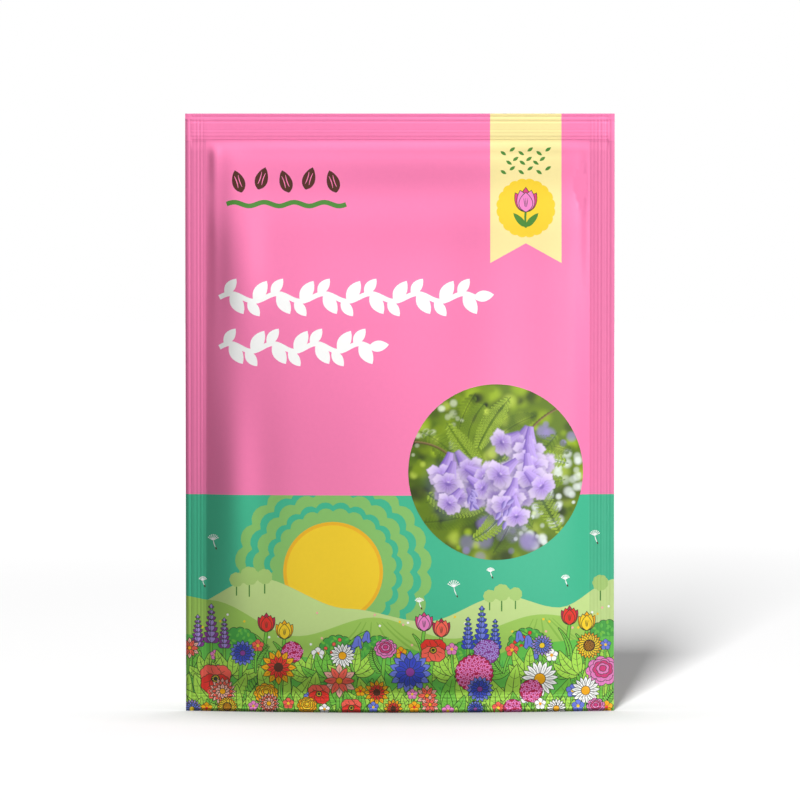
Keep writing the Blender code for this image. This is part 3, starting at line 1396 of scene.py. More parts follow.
@dataclass(frozen=True)
class BackPrint(FilmPrint):
    """The back: hills with a row of flowers, and a cream panel ruled with plain bars."""

    # Hills from the farthest: their ink, and x and z of their crests and dips by turns.
    hills: Sequence[tuple[Ink, Sequence[float]]] = (
        (Ink.PALE_HILL, (-51, 30, -30, 24, -8, 31, 20, 24, 51, 29)),
        (Ink.MID_HILL, (-51, 20, -32, 23, -4, 17, 26, 23, 51, 22)),
        (Ink.MEADOW, (-51, 16, -28, 13, 2, 15.5, 30, 12.5, 51, 16)),
    )

    def draw(self) -> None:
        """Lay the whole back, as seen from behind."""
        self.ground()
        meadow = Meadow(self.sheet, 5)
        for hill in self.hills:
            meadow.ridge(*hill)
        for _ in range(60):
            meadow.tuft(complex(meadow.chance.uniform(-49, 49), meadow.chance.uniform(0.5, 12)), 1.6)
        for k in range(12):
            x = -44 + 8 * k
            z = 9 + 2.4 * (k % 3)
            meadow.stem(complex(x, 0), complex(x, z), 0.6)
            meadow.leaf(complex(x, 0), complex(x - 3, z - 2), 1.8, -0.14)
            if k % 3 == 0:
                meadow.tulip(complex(x, z), 5.0, Ink.CRIMSON, Ink.SCARLET)
            else:
                meadow.posy(complex(x, z), 2.6, (Ink.WHITE, Ink.GOLD)[k % 2])
        self.panel()

    def panel(self) -> None:
        """A cream panel with rows of plain bars and four round marks."""
        self.sheet.lay(Ink.MOSS, rounded_bar(-36.5, 59.5, 36.5, 126.5, 4.5))
        self.sheet.lay(Ink.CREAM, rounded_bar(-35.7, 60.3, 35.7, 125.7, 3.8))
        self.sheet.lay(Ink.MOSS, rounded_bar(-31, 117.2, 4, 120.8, 1.6))
        chance = random.Random(21)
        for row in range(9):
            level = 112.6 - 3.2 * row
            end = 31 - chance.uniform(0, 9) if row % 3 != 2 else chance.uniform(-8, 14)
            self.sheet.lay(Ink.BARK, rounded_bar(-31, level, end, level + 1.1, 0.5))
        signs = (self.sunshine, self.water, self.sprout, self.bloom)
        for k, (ink, sign) in enumerate(zip((Ink.SUN, Ink.PERIWINKLE, Ink.LEAF, Ink.CORAL), signs)):
            centre = complex(-25.5 + 17 * k, 71.5)
            self.sheet.lay(Ink.MOSS, disc(centre, 5.6, 36))
            self.sheet.lay(ink, disc(centre, 4.9, 36))
            sign(centre)
            self.sheet.lay(Ink.BARK, rounded_bar(centre.real - 4.6, 62.4, centre.real + 4.6, 63.4, 0.45))

    def sunshine(self, centre: complex) -> None:
        """The sign for light: a disc with short rays.

        Args:
            centre: Its middle.
        """
        self.sheet.lay(Ink.WHITE, disc(centre, 1.7))
        for turn in range(0, 360, 45):
            self.sheet.lay(Ink.WHITE, ribbon(centre + polar(1, turn) * np.array([2.3, 3.7]), 0.6))

    def water(self, centre: complex) -> None:
        """The sign for watering: one drop.

        Args:
            centre: Its middle.
        """
        t = np.linspace(0, 2 * np.pi, 24, endpoint=False)
        drop = centre - 0.7j + 2.2 * np.sin(t) * np.sin(t / 2) ** 1.2 + 3.1j * np.cos(t) + 0.5j
        self.sheet.lay(Ink.WHITE, drop)

    def sprout(self, centre: complex) -> None:
        """The sign for sowing: a stem with two seed leaves over a line of soil.

        Args:
            centre: Its middle.
        """
        x, z = centre.real, centre.imag
        self.sheet.lay(Ink.WHITE, rounded_bar(x - 2.9, z - 3, x + 2.9, z - 2.4, 0.25))
        self.sheet.lay(Ink.WHITE, ribbon(arc(centre - 2.6j, centre + 0.9j, 0.06), 0.55))
        self.sheet.lay(Ink.WHITE, petal(centre + 0.6j, 35, 3.4, 1.9))
        self.sheet.lay(Ink.WHITE, petal(centre + 0.6j, 145, 3.4, 1.9))

    def bloom(self, centre: complex) -> None:
        """The sign for flowering: five petals round an eye.

        Args:
            centre: Its middle.
        """
        for turn in range(90, 450, 72):
            self.sheet.lay(Ink.WHITE, petal(centre, turn, 3.8, 2.5, 1.4))
        self.sheet.lay(Ink.CORAL, disc(centre, 0.9))


class Painting:
    """Soft colours laid one over another on scattered points."""

    def __init__(self, points: np.ndarray, ground: str) -> None:
        """Cover the points with one ground colour."""
        self.points = points
        self.colours = np.tile(linear(ground)[:3], (len(points), 1))

    def lay(self, chosen: np.ndarray, colour: np.ndarray | str, cover: np.ndarray) -> None:
        """Blend a colour into the chosen points, as strongly as cover says at each.

        Args:
            chosen: The points' numbers.
            colour: One colour, or one for each chosen point.
            cover: From 0 to 1 for each chosen point.
        """
        if isinstance(colour, str):
            colour = np.array(linear(colour)[:3])
        share = np.clip(cover, 0, 1)[:, None]
        self.colours[chosen] += (colour - self.colours[chosen]) * share

    def near(self, centre: complex, reach: float) -> np.ndarray:
        """Which points lie within reach of a place."""
        return np.flatnonzero(np.abs(self.points - centre) < reach)

    def glow(self, centre: complex, radius: float, colour: str, strength: float, edge: float = 1.0) -> None:
        """A round spot: edge 1 fades from its middle, and a small edge only at its rim.

        Args:
            centre: Its middle.
            radius: Its radius.
            colour: Its sRGB colour.
            strength: How solid its middle is.
            edge: The share of the radius over which it fades.
        """
        chosen = self.near(centre, radius)
        far = np.abs(self.points[chosen] - centre) / radius
        self.lay(chosen, colour, strength * ease((1 - far) / edge))

    def drop(self, base: complex, tip: complex, width: float, dark: str, light: str, soft: float,
             strength: float = 1.0, pointed: float = 0.9) -> None:
        """A leaflet or bud from base to tip, lighter along one side.

        Args:
            base: Where it starts.
            tip: Where it ends.
            width: Its greatest breadth.
            dark: Colour of its darker side.
            light: Colour of its lighter side.
            soft: Width of its soft rim.
            strength: How solid it is.
            pointed: Where its widest part lies; larger is farther out.
        """
        length = abs(tip - base)
        chosen = self.near((base + tip) / 2, length / 2 + width / 2 + soft)
        local = (self.points[chosen] - base) * np.conj(tip - base) / length
        along = np.clip(local.real / length, 0, 1)
        half = width / 2 * np.sin(np.pi * along ** pointed) ** 0.7 + 1e-6
        past = np.maximum(np.maximum(-local.real, local.real - length), 0)
        cover = ease((half - np.abs(local.imag) - past) / soft + 0.5)
        shade = ease(0.5 + 0.5 * local.imag / half)[:, None]
        colour = (1 - shade) * linear(dark)[:3] + shade * linear(light)[:3]
        self.lay(chosen, colour, strength * cover)

    def blossom(self, base: complex, turn: float, size: float, soft: float, strength: float,
                tint: float, phase: float) -> None:
        """A lilac trumpet: a tube that widens to a mouth with five ruffled lobes.

        Args:
            base: Where the tube starts.
            turn: Direction of the tube in degrees.
            size: Length of the tube.
            soft: Width of the soft rim, larger where it is out of focus.
            strength: How solid it is.
            tint: From 0, bluish and dark, to 1, light.
            phase: Turns the ruffles and veins.
        """
        deep, mid, pale = (np.array(linear(c)[:3]) for c in ("7657B4", "AC8EDA", "E3D2F3"))
        mid = mid * (0.75 + 0.5 * tint)
        chosen = self.near(base + polar(0.9 * size, turn), 1.6 * size)
        local = (self.points[chosen] - base) * polar(1, -turn) / size
        along, off = local.real, local.imag
        half = 0.12 + 0.27 * np.clip(along, 0, 1.1) ** 1.3
        cover = ease((half - np.abs(off)) * size / soft + 0.5)
        cover = cover * ease(along * size / soft) * ease((1.1 - along) * 8)
        round_shade = ease(0.62 + 0.5 * off / half)[:, None]
        stripes = 0.06 * np.sin(off / half * 9)[:, None]
        tube = deep * (1 - round_shade) + (mid * 0.8 + pale * 0.2) * round_shade + stripes * mid
        self.lay(chosen, tube, strength * cover)
        mouth = local - 1.06
        squash = 0.62
        for k in (2, 3, 1, 4, 0):
            direction = 72 * k + 36
            middle = polar(1, direction)
            away = mouth - complex(0.4 * squash * middle.real, 0.42 * middle.imag)
            away = away.real / (squash + 0.2) + 1j * away.imag
            angle = np.angle(away)
            reach = 0.31 * (1 + 0.09 * np.sin(5 * angle + phase + k) + 0.04 * np.sin(11 * angle + 2 * phase))
            cover = ease((reach - np.abs(away)) * size / soft + 0.5)
            outwards = ease((np.abs(mouth) - 0.12) / 0.55)[:, None]
            veins = 0.07 * np.sin(14 * np.angle(mouth) + phase)[:, None] * (1 - outwards)
            lit = 0.55 + 0.3 * math.sin(math.radians(direction + turn)) + 0.15 * tint
            lobe = (mid * (1 - outwards) + pale * outwards) * (0.62 + 0.42 * lit) + veins * mid
            rim = ease((np.abs(away) / reach - 0.8) / 0.2)[:, None]
            self.lay(chosen, lobe * (1 - 0.18 * rim), strength * cover)
        throat = mouth.real / (0.16 * squash) + 1j * mouth.imag / 0.17
        self.lay(chosen, deep * 0.85, 0.75 * strength * ease(1.3 - np.abs(throat)))
        self.lay(chosen, pale, 0.7 * strength * ease(1.2 - np.abs(throat + 0.9) * 2.2))


@dataclass(frozen=True)
class BlossomPicture:
    """A round four-colour picture on the front: lilac trumpets among ferny leaves, in soft focus."""

    steps: int = 236
    lift: float = 0.02
    centre = complex(22.3, 56.1)
    radius = 20.35
    attribute = "picture_colour"

    def grid(self) -> tuple[np.ndarray, np.ndarray]:
        """A square mesh pressed evenly into the round.

        Returns:
            Flat points from the picture's middle, and the corners of each face.
        """
        side = np.linspace(-1, 1, self.steps + 1)
        across, up = np.meshgrid(side, side)
        wide = np.abs(across) > np.abs(up)
        big = np.where(wide, across, up)
        small = np.where(wide, up, across)
        bent = np.pi / 4 * small / np.where(big == 0, 1, big)
        near, far = big * np.cos(bent), big * np.sin(bent)
        x, z = np.where(wide, near, far), np.where(wide, far, near)
        row = self.steps + 1
        corner = np.arange(self.steps * row).reshape(self.steps, row)[:, :-1].ravel()
        faces = np.stack([corner, corner + 1, corner + row + 1, corner + row], axis=1)
        return self.radius * (x.ravel() + 1j * z.ravel()), faces

    def paint(self, points: np.ndarray) -> np.ndarray:
        """The picture's linear colours at its points.

        Args:
            points: Places from the picture's middle.

        Returns:
            One colour for each point.
        """
        picture = Painting(points, "5E7714")
        chance = random.Random(31)
        for layer in (self.paint_distance, self.paint_ferns, self.paint_sprays):
            layer(picture, chance)
        return picture.colours

    def paint_distance(self, picture: Painting, chance: random.Random) -> None:
        """Blurred greenery, with gaps of pale sky.

        Args:
            picture: The painting.
            chance: Where its random numbers come from.
        """
        greens = ("1E2C06", "45600A", "768F12", "97B222", "BCD04C", "16220A", "5C780F")
        for k in range(300):
            place = polar(self.radius * math.sqrt(chance.random()), chance.uniform(0, 360))
            size = chance.uniform(0.8, 3.4)
            picture.glow(place, size, greens[k % len(greens)], chance.uniform(0.45, 1.0), 0.8)
        for first, last, count, size, colour in (
            (-75, 20, 60, 1.3, "E6EEE9"), (120, 170, 16, 1.1, "DDE6C4"),
            (-120, -60, 16, 2.4, "9184B8"), (20, 50, 6, 1.8, "9A8CC6"),
        ):
            for k in range(count):
                place = polar(self.radius * chance.uniform(0.55, 1.0), chance.uniform(first, last))
                picture.glow(place, size * chance.uniform(0.4, 1.2), colour, chance.uniform(0.35, 0.85), 0.6)

    def paint_ferns(self, picture: Painting, chance: random.Random) -> None:
        """Feathery leaves, the farther ones softer and darker.

        Args:
            picture: The painting.
            chance: Where its random numbers come from.
        """
        for near, count in ((0.0, 7), (0.5, 7), (1.0, 6)):
            for k in range(count):
                reach = self.radius * chance.uniform(0.75, 1.05)
                start = polar(reach, 360 * k / count + 60 * near + chance.uniform(0, 20))
                end = start * polar(chance.uniform(0.1, 0.5), chance.uniform(25, 70))
                rib = arc(start, end, chance.uniform(-0.15, 0.15), 22)
                self.paint_frond(picture, rib, near)

    @staticmethod
    def paint_frond(picture: Painting, rib: np.ndarray, near: float) -> None:
        """One feathery leaf along its rib.

        Args:
            picture: The painting.
            rib: Points along its rib.
            near: From 0, far off, to 1.
        """
        dark, light = (("2E440A", "62800F"), ("436010", "86A322"), ("4C6D14", "AFC93F"))[round(2 * near)]
        soft = 0.8 - 0.55 * near
        along = headings(rib)
        for n in range(1, len(rib) - 1):
            reach = 2.9 * math.sin(math.pi * (n / len(rib)) ** 0.8) ** 0.7
            for way in (1, -1):
                tip = rib[n] + reach * along[n] * polar(1, 58 * way)
                for m in range(1, 7):
                    root = rib[n] + (tip - rib[n]) * m / 7
                    for turn in (38, -38):
                        step = (tip - rib[n]) / abs(tip - rib[n]) * polar(0.62 - 0.05 * m, turn)
                        picture.drop(root, root + step, 0.3, dark, light, soft * 0.5, 0.55 + 0.35 * near)
        for a, b in zip(rib[:-1], rib[1:]):
            picture.drop(a, b + (b - a) * 0.2, 0.28, dark, dark, soft * 0.5, 0.8)

    def paint_sprays(self, picture: Painting, chance: random.Random) -> None:
        """Two hanging sprays of blossom, their far flowers softer and bluer.

        Args:
            picture: The painting.
            chance: Where its random numbers come from.
        """
        for start, crown, hang, length, count in (
            (complex(-19, 7), complex(-9.5, 4.5), -72.0, 11.0, 5),
            (complex(15, 15), complex(7.5, 9.0), -106.0, 18.5, 9),
        ):
            twig = arc(start, crown + polar(0.5 * length, hang), 0.16 if start.real < 0 else -0.16, 24)
            for a, b in zip(twig[:-1], twig[1:]):
                picture.drop(a, b + (b - a) * 0.3, 0.6, "4A3B22", "8B7446", 0.25)
            for near in (0.0, 0.5, 1.0):
                for k in range(count):
                    share = (k + 0.5) / count
                    lean = chance.uniform(-1, 1)
                    root = crown + polar(length * (share - 0.15), hang)
                    root += polar((2.6 - 1.4 * share) * lean, hang + 90)
                    turn = hang + 58 * lean + chance.uniform(-14, 14)
                    size = chance.uniform(4.9, 6.0) * (0.86 + 0.14 * near) * (1.05 - 0.25 * share)
                    mouth = root + polar(size, turn)
                    picture.glow(mouth - complex(0.7, 1.0), size, "40347A", 0.45 * (0.4 + 0.6 * near))
                    picture.blossom(root, turn, size, 0.8 - 0.52 * near, 0.85 + 0.15 * near,
                                    0.15 + 0.5 * near + chance.uniform(-0.1, 0.3), chance.uniform(0, 6))
            for k in range(7):
                root = crown + polar(length * (0.84 + 0.05 * k), hang)
                root += polar(chance.uniform(-1.3, 1.3), hang + 90)
                tip = root + polar(chance.uniform(1.6, 2.6), hang + chance.uniform(-40, 40))
                picture.drop(root, tip, 1.0, "6A55AC", "BBAAE8", 0.25)


class FilmPiece(Enum):
    """The sachet's pieces: the CAD node that each stands for, its slot, and the painted shade or light on its
    inks, if any.
    """

    FRONT_PANEL = ("front_panel", "front_film", SealShade.NONE)
    BACK_PANEL = ("back_panel", "back_film", SealShade.NONE)
    # The side seals get painted shade and the top and foot seals painted light on their inks.
    TOP_SEAL = ("top_seal", "crimped_film", SealShade.LIGHT)
    BOTTOM_SEAL = ("bottom_seal", "crimped_green_film", SealShade.LIGHT)
    LEFT_SEAL = ("left_seal", "crimped_film", SealShade.HARD)
    RIGHT_SEAL = ("right_seal", "crimped_film", SealShade.HARD)

    def __init__(self, node_name: str, slot: str, press: SealShade) -> None:
        """Keep the three values under names of their own.

        Args:
            node_name: The CAD node.
            slot: The material slot; it is not used.
            press: The painted shade or light on its inks.
        """
        self.node_name = node_name
        self.slot = slot
        self.press = press


@dataclass
class FilmShell:
    """Closed sheets of film, gathered until they are made into one mesh."""

    form: PouchForm
    depth: float = 0.145
    inner_step: float = 1.0
    lip_lines: np.ndarray = field(default_factory=lambda: np.linspace(0.14, 1.82, 13))
    points: list[np.ndarray] = field(default_factory=list)
    normals: list[np.ndarray] = field(default_factory=list)
    faces: list[list[int]] = field(default_factory=list)
    kinds: list[Ink | Ply] = field(default_factory=list)

    def add(self, points: np.ndarray, normals: np.ndarray, faces: np.ndarray,
            kinds: Sequence[Ink | Ply]) -> None:
        """Add faces that share no points with those before them.

        Args:
            points: Their points.
            normals: The film's direction at each point.
            faces: Their corners, as numbers of those points.
            kinds: The ink of each.
        """
        start = sum(len(block) for block in self.points)
        self.points.append(points)
        self.normals.append(normals)
        self.faces += (faces + start).tolist()
        self.kinds += kinds

    def add_film(self, side: Side, flat: np.ndarray, cells: np.ndarray, kinds: Sequence[Ink | Ply],
                 lift: float = 0.0) -> None:
        """Bend one flat piece of film over the form, and close it with its cut edges and its inner face.

        Args:
            side: The film that it belongs to.
            flat: Points as seen from outside, across and up.
            cells: Faces over those points, anticlockwise.
            kinds: The ink of each face.
            lift: Height over the film's outer face; a lifted piece lies on that face and has no inner one.
        """
        used, packed = np.unique(cells, return_inverse=True)
        cells = packed.reshape(cells.shape)
        flat = flat[used]
        x, z = -side.value * flat[:, 0], flat[:, 1]
        outer = np.stack([x, self.form.y(x, z, side) + side.value * lift, z], axis=1)
        inner = outer - [0, side.value * (lift or self.depth), 0]
        self.add(outer, self.form.normals(x, z, side), cells, kinds)
        ends = np.stack([cells, np.roll(cells, -1, axis=1)], axis=-1).reshape(-1, 2)
        both = {(a, b) for a, b in ends.tolist()}
        rim = np.array([(a, b) for a, b in ends.tolist() if (b, a) not in both])
        a, b = rim[:, 0], rim[:, 1]
        along = outer[b] - outer[a]
        outwards = np.stack([-side.value * along[:, 2], 0 * along[:, 1], side.value * along[:, 0]], axis=1)
        outwards /= np.linalg.norm(outwards, axis=1, keepdims=True)
        wall = np.stack([outer[b], outer[a], inner[a], inner[b]], axis=1).reshape(-1, 3)
        self.add(wall, np.repeat(outwards, 4, axis=0), np.arange(4 * len(rim)).reshape(-1, 4),
                 [Ply.CUT_EDGE] * len(rim))
        if not lift:
            self.add_inner(side, flat[np.unique(rim)])

    def add_inner(self, side: Side, border: np.ndarray) -> None:
        """Add the plain inner face of a rectangular piece, over the same rim.

        Args:
            side: The film that it belongs to.
            border: The rim's points, in any order.
        """
        low, high = border.min(axis=0), border.max(axis=0)
        scaled = (2 * border - low - high) / (high - low)
        border = border[np.argsort(np.arctan2(scaled[:, 1], scaled[:, 0]))]
        counts = np.maximum((high - low) / self.inner_step, 1).astype(int)
        across, up = (
            np.concatenate([np.linspace(a, b, n + 1)[1:-1], a + self.lip_lines, b - self.lip_lines])
            for a, b, n in zip(low, high, counts)
        )
        spots = [Vector(spot) for spot in border] + [Vector((x, z)) for x in across for z in up]
        found, _, cells, _, _, _ = delaunay_2d_cdt(spots, [], [list(range(len(border)))], 1, WELD)
        flat = np.array([tuple(spot) for spot in found])
        x, z = -side.value * flat[:, 0], flat[:, 1]
        points = np.stack([x, self.form.y(x, z, side) - side.value * self.depth, z], axis=1)
        self.add(points, -self.form.normals(x, z, side), np.array(cells)[:, ::-1], [Ply.INSIDE] * len(cells))

    def make(self, name: str, finishes: FinishCabinet, press: SealShade = SealShade.NONE) -> bpy.types.Object:
        """Turn the gathered sheets into one object.

        Args:
            name: The object's name.
            finishes: Where its materials come from.
            press: The painted shade or light on its inks.

        Returns:
            The object, which rides the root.
        """
        mesh = bpy.data.meshes.new(name)
        mesh.from_pydata(np.concatenate(self.points) * MM, [], self.faces)
        used = sorted(set(self.kinds), key=lambda kind: kind.name)
        for kind in used:
            mesh.materials.append(finishes.material(kind, press))
        place = {kind: n for n, kind in enumerate(used)}
        mesh.polygons.foreach_set("material_index", [place[kind] for kind in self.kinds])
        mesh.shade_smooth()
        mesh.normals_split_custom_set_from_vertices(np.concatenate(self.normals))
        made = stand(name, mesh)
        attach(made, "root")
        return made


@dataclass
class Sachet:
    """Both printed films, cut into the two panels and the four seals, and the picture on the front."""

    form: PouchForm
    finishes: FinishCabinet
    columns_between: int = 90
    rows_between: int = 110
    shells: dict[FilmPiece, FilmShell] = field(default_factory=dict)

    def print_film(self, side: Side, sheet: PrintLayout) -> None:
        """Cut one printed film, bend it over the form and share its faces out to the pieces.

        Args:
            side: The film.
            sheet: Its print.
        """
        form = self.form
        columns = form.lines(form.width, form.left_seal, form.right_seal, self.columns_between)
        columns = columns - form.width / 2
        rows = form.lines(form.height, form.bottom_seal, form.top_seal, self.rows_between)
        if side is Side.BACK:
            columns = -columns[::-1]
        flat, cells, inks = sheet.cut(columns, rows)
        middles = flat[cells].mean(axis=1)
        owner = self.owners(-side.value * middles[:, 0], middles[:, 1], side)
        for number, piece in enumerate(FilmPiece):
            chosen = np.flatnonzero(owner == number)
            if len(chosen):
                shell = self.shells.setdefault(piece, FilmShell(form))
                shell.add_film(side, flat, cells[chosen], [inks[n] for n in chosen])

    def owners(self, x: np.ndarray, z: np.ndarray, side: Side) -> np.ndarray:
        """Which piece each face belongs to, as its number in FilmPiece.

        Args:
            x: The faces' places across, from the middle.
            z: Their heights over the foot.
            side: The film.

        Returns:
            One number for each face.
        """
        form = self.form
        pieces = list(FilmPiece)
        panel = FilmPiece.FRONT_PANEL if side is Side.FRONT else FilmPiece.BACK_PANEL
        owner = np.full(len(x), pieces.index(panel))
        owner[x < -form.width / 2 + form.left_seal] = pieces.index(FilmPiece.LEFT_SEAL)
        owner[x > form.width / 2 - form.right_seal] = pieces.index(FilmPiece.RIGHT_SEAL)
        owner[z < form.bottom_seal] = pieces.index(FilmPiece.BOTTOM_SEAL)
        owner[z > form.height - form.top_seal] = pieces.index(FilmPiece.TOP_SEAL)
        return owner

    def build(self, piece: FilmPiece) -> bpy.types.Object:
        """Make one piece from its share of the films.

        Args:
            piece: The piece.

        Returns:
            The object, which replaces its CAD node.
        """
        made = self.shells[piece].make(f"{piece.node_name}_film", self.finishes, piece.press)
        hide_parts(piece.node_name)
        return made

    def add_picture(self, picture: BlossomPicture) -> bpy.types.Object:
        """Lay the round picture on the front film.

        Args:
            picture: The picture.

        Returns:
            The object.
        """
        points, faces = picture.grid()
        flat = np.stack([points.real + picture.centre.real, points.imag + picture.centre.imag], axis=1)
        shell = FilmShell(self.form)
        shell.add_film(Side.FRONT, flat, faces, [Ply.PICTURE] * len(faces), picture.lift)
        made = shell.make("blossom_picture", self.finishes)
        colours = np.ones((len(made.data.vertices), 4))
        colours[:len(points), :3] = picture.paint(points)
        layer = made.data.color_attributes.new(picture.attribute, "FLOAT_COLOR", "POINT")
        layer.data.foreach_set("color", colours.ravel())
        return made


class Lit(Enum):
    """What a softbox is flagged to light."""

    SACHET = "sachet"
    FLOOR = "floor"


@dataclass(frozen=True)
class Softbox:
    """A soft light on a stand, aimed at the sachet.

    Attributes:
        name: What it is for.
        lit: What it lights.
        azimuth: Its direction, in degrees to the right of the camera.
        elevation: Its height in degrees.
        distance: How far it stands from the sachet, in metres.
        width: Its width in metres.
        tall: Its height in metres.
        strength: Light that falls on a surface that faces it at the sachet, as a share of white.
    """

    name: str
    lit: Lit
    azimuth: float
    elevation: float
    distance: float
    width: float
    tall: float
    strength: float

    def place(self, target: Vector, receivers: bpy.types.Collection) -> None:
        """Set the light up.

        Args:
            target: What it is aimed at.
            receivers: The objects that it lights.
        """
        data = bpy.data.lights.new(self.name, "AREA")
        data.shape = "RECTANGLE"
        data.size, data.size_y = self.width, self.tall
        data.energy = self.strength * (math.pi * self.distance) ** 2
        lamp = stand(self.name, data)
        turn, lift = math.radians(self.azimuth), math.radians(self.elevation)
        away = Vector((math.sin(turn) * math.cos(lift), -math.cos(turn) * math.cos(lift), math.sin(lift)))
        lamp.location = target + away * self.distance
        lamp.rotation_euler = (-away).to_track_quat("-Z", "Y").to_euler()
        lamp.light_linking.receiver_collection = receivers


@dataclass(frozen=True)
class Studio:
    """A pale floor that fades to white, with a painted contact shadow near the sachet, flagged soft lights
    and a long lens.
    """

    focus_mm: float = 300.0
    sensor_mm: float = 36.0
    image_px: int = 800
    object_px: float = 429.9
    middle_px: tuple[float, float] = (399.9, 413.1)
    elevation: float = 1.0
    surround: float = 0.11
    floor_size: float = 30.0
    card: float = 0.9
    card_roughness: float = 0.9
    far_white: float = 1.1
    fade_from: float = 0.5
    fade_to: float = 1.5
    # The floor's painted contact shadow: how far its ambient occlusion reaches, and the power that deepens
    # it.
    contact_shadow_reach: float = 0.05
    contact_shadow_power: float = 0.68
    softboxes: Sequence[Softbox] = (
        Softbox("key softbox", Lit.SACHET, 43.0, 22.0, 1.2, 0.5, 0.6, 0.995),
        Softbox("high softbox", Lit.SACHET, 4.0, 62.0, 1.4, 0.6, 0.5, 0.44),
        Softbox("left fill", Lit.SACHET, -50.0, 10.0, 1.5, 0.8, 0.8, 0.09),
        Softbox("back softbox", Lit.SACHET, 155.0, 30.0, 1.5, 0.8, 0.8, 0.8),
        Softbox("tall floor softbox", Lit.FLOOR, -6.0, 16.5, 16.0, 1.2, 7.7, 3.0),
        Softbox("rear floor softbox", Lit.FLOOR, 175.0, 60.0, 4.0, 2.6, 2.6, 0.28),
    )

    def floor(self) -> bpy.types.Object:
        """A wide floor of pale card that fades to plain white far off, and throws no light back; near the
        sachet its colour is darkened by ambient occlusion, a painted contact shadow.

        Returns:
            The floor's object.
        """
        bpy.ops.object.select_all(action="DESELECT")
        bpy.ops.mesh.primitive_plane_add(size=self.floor_size, location=(0, 0, 0))
        floor = bpy.context.object
        floor.name = "studio_floor"
        floor.visible_diffuse = False
        material, tree, shader = blank_material("white studio card")
        # Painted contact shadow: the card's colour is darkened where ambient occlusion finds the sachet close
        # by.
        contact_shadow_probe = {"Color": (1, 1, 1, 1), "Distance": self.contact_shadow_reach}
        painted_contact_shadow = node(tree, "AmbientOcclusion", contact_shadow_probe, samples=8)
        painted_contact_shadow = node(tree, "Math", {1: self.contact_shadow_power}, {0: (painted_contact_shadow, "AO")}, operation="POWER")
        shade = node(tree, "VectorMath", {0: (self.card,) * 3}, {"Scale": (painted_contact_shadow, "Value")}, operation="SCALE")
        feed(shader, {"Roughness": self.card_roughness}, {"Base Color": (shade, "Vector")})
        place = node(tree, "TexCoord")
        away = node(tree, "VectorMath", {}, {0: (place, "Object")}, operation="LENGTH")
        fade = node(tree, "MapRange", {"From Min": self.fade_from, "From Max": self.fade_to},
                    {"Value": (away, "Value")}, interpolation_type="SMOOTHSTEP")
        white = node(tree, "Emission", {"Color": (1, 1, 1, 1), "Strength": self.far_white})
        mixed = node(tree, "MixShader", {},
                     {"Fac": (fade, "Result"), 1: (shader, "BSDF"), 2: (white, "Emission")})
        feed(tree.nodes["Material Output"], {}, {"Surface": (mixed, "Shader")})
        floor.data.materials.append(material)
        return floor

    def camera(self, form: PouchForm) -> None:
        """Look straight at the front from a little above.

        Args:
            form: What it looks at.
        """
        scale = form.width * MM / self.object_px
        distance = scale * self.focus_mm * self.image_px / self.sensor_mm
        data = bpy.data.cameras.new("long lens")
        data.lens = self.focus_mm
        data.sensor_width = self.sensor_mm
        camera = stand("camera", data)
        tilt = math.radians(self.elevation)
        aim = Vector(((self.image_px / 2 - self.middle_px[0]) * scale, 0.0,
                      form.height * MM / 2 + (self.middle_px[1] - self.image_px / 2) * scale))
        camera.location = aim + Vector((0, -distance * math.cos(tilt), distance * math.sin(tilt)))
        camera.rotation_euler = (math.pi / 2 - tilt, 0, 0)
        data.clip_end = 2 * self.floor_size
        bpy.context.scene.camera = camera

    def light(self, form: PouchForm, floor: bpy.types.Object, pieces: Sequence[bpy.types.Object]) -> None:
        """Set up the softboxes and an even surround that is white to the camera.

        Args:
            form: What the lights are aimed at.
            floor: The studio floor.
            pieces: The sachet's pieces.
        """
        middle = Vector((0, 0, form.height * MM / 2))
        flagged = {lit: bpy.data.collections.new(f"{lit.value} light") for lit in (Lit.FLOOR, Lit.SACHET)}
        flagged[Lit.FLOOR].objects.link(floor)
        for piece in pieces:
            flagged[Lit.SACHET].objects.link(piece)
        for softbox in self.softboxes:
            softbox.place(middle, flagged[softbox.lit])
        world = bpy.data.worlds.new("surround")
        bpy.context.scene.world = world
        world.use_nodes = True
        tree = world.node_tree
        ray = node(tree, "LightPath")
        strength = node(tree, "MapRange", {"To Min": self.surround, "To Max": 1.0},
                        {"Value": (ray, "Is Camera Ray")})
        feed(tree.nodes["Background"], {"Color": (1, 1, 1, 1)}, {"Strength": (strength, "Result")})
        bpy.context.scene.view_settings.view_transform = "Standard"


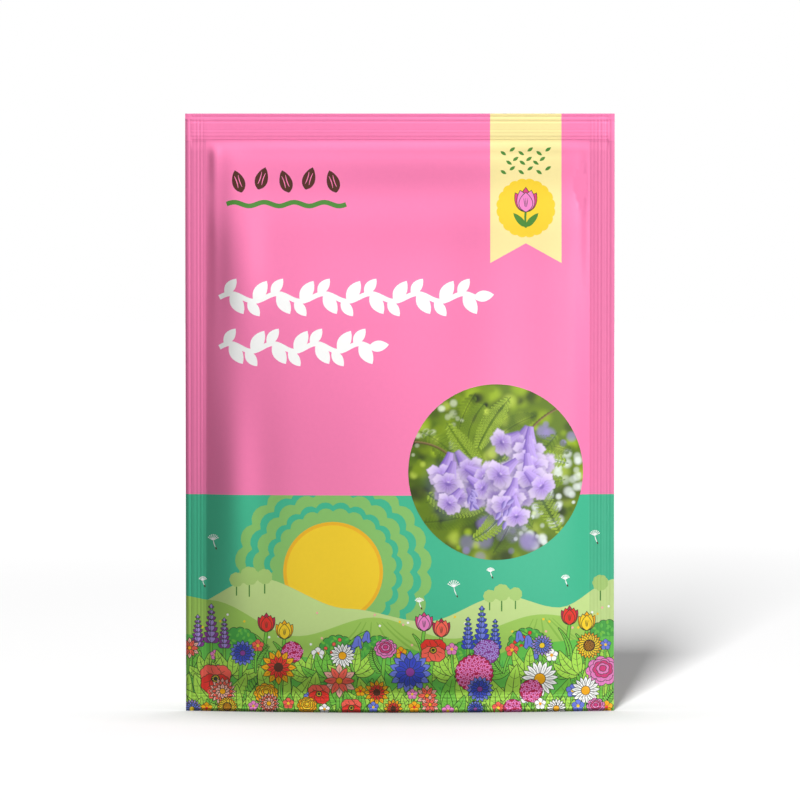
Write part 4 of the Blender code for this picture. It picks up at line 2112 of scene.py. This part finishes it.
FOLDS = (
    Fold(Side.FRONT, 0, 131.2, 60, 1.8, 0.0, -0.15),
    Fold(Side.FRONT, 4, 121.8, 46, 6.6, 1.0, -2.1),
    Fold(Side.FRONT, 3, 110.0, 38, 12.0, 0.0, -2.7),
    Fold(Side.FRONT, 2, 94.0, 38, 17.0, 0.0, -1.4),
    Fold(Side.FRONT, -36.4, 106, 15, 4.2, 90, 1.5),
    Fold(Side.FRONT, -40.2, 114, 22, 3.2, 90, 0.85),
    Fold(Side.FRONT, -43.5, 126, 32, 1.7, 90, 0.85),
    Fold(Side.FRONT, -37.8, 54, 20, 4.0, 90, 0.8),
    Fold(Side.FRONT, -32.5, 50, 24, 5.5, 91, -0.9),
    Fold(Side.FRONT, -23.0, 48, 30, 13.0, 92, -1.1),
    Fold(Side.FRONT, 12.0, 100, 24, 8.0, 82, -0.5),
    Fold(Side.FRONT, 30.0, 84, 60, 8.0, 90, -1.0),
    Fold(Side.FRONT, 40.8, 84, 60, 2.6, 90, 0.3),
    Fold(Side.FRONT, -6, 12.5, 40, 3.2, -1, -0.45),
    Fold(Side.FRONT, 0, 9.4, 60, 3.4, 0, 0.8),
    Fold(Side.BACK, 0, 121, 40, 8.0, -1, -1.8),
    Fold(Side.BACK, 0, 108, 44, 12.0, 0, -1.6),
    Fold(Side.BACK, 33, 70, 50, 4.0, 90, 0.6),
    Fold(Side.BACK, -30, 50, 24, 9.0, 86, -1.2),
    Fold(Side.BACK, 4, 92, 30, 7.0, 70, -0.5),
)


def main() -> None:
    """Build the sachet and the studio, in order."""
    logging.basicConfig(level=logging.INFO, format="%(message)s")
    form = PouchForm.from_frame(FOLDS)
    sachet = Sachet(form, FinishCabinet(FilmFinish(), FilmFinish(roughness=0.6, mottle=0.04)))
    for side, artwork in ((Side.FRONT, FrontPrint), (Side.BACK, BackPrint)):
        sheet = PrintLayout(form.width, form.height)
        artwork(sheet).draw()
        sachet.print_film(side, sheet)
        LOG.info("%s print: %d shapes", side.name.lower(), len(sheet.outlines))
    made = [sachet.build(piece) for piece in FilmPiece]
    made.append(sachet.add_picture(BlossomPicture()))
    for piece in made:
        LOG.info("%s: %d faces", piece.name, len(piece.data.polygons))
    studio = Studio()
    floor = studio.floor()
    studio.camera(form)
    studio.light(form, floor, made)


if __name__ == "__main__":
    main()
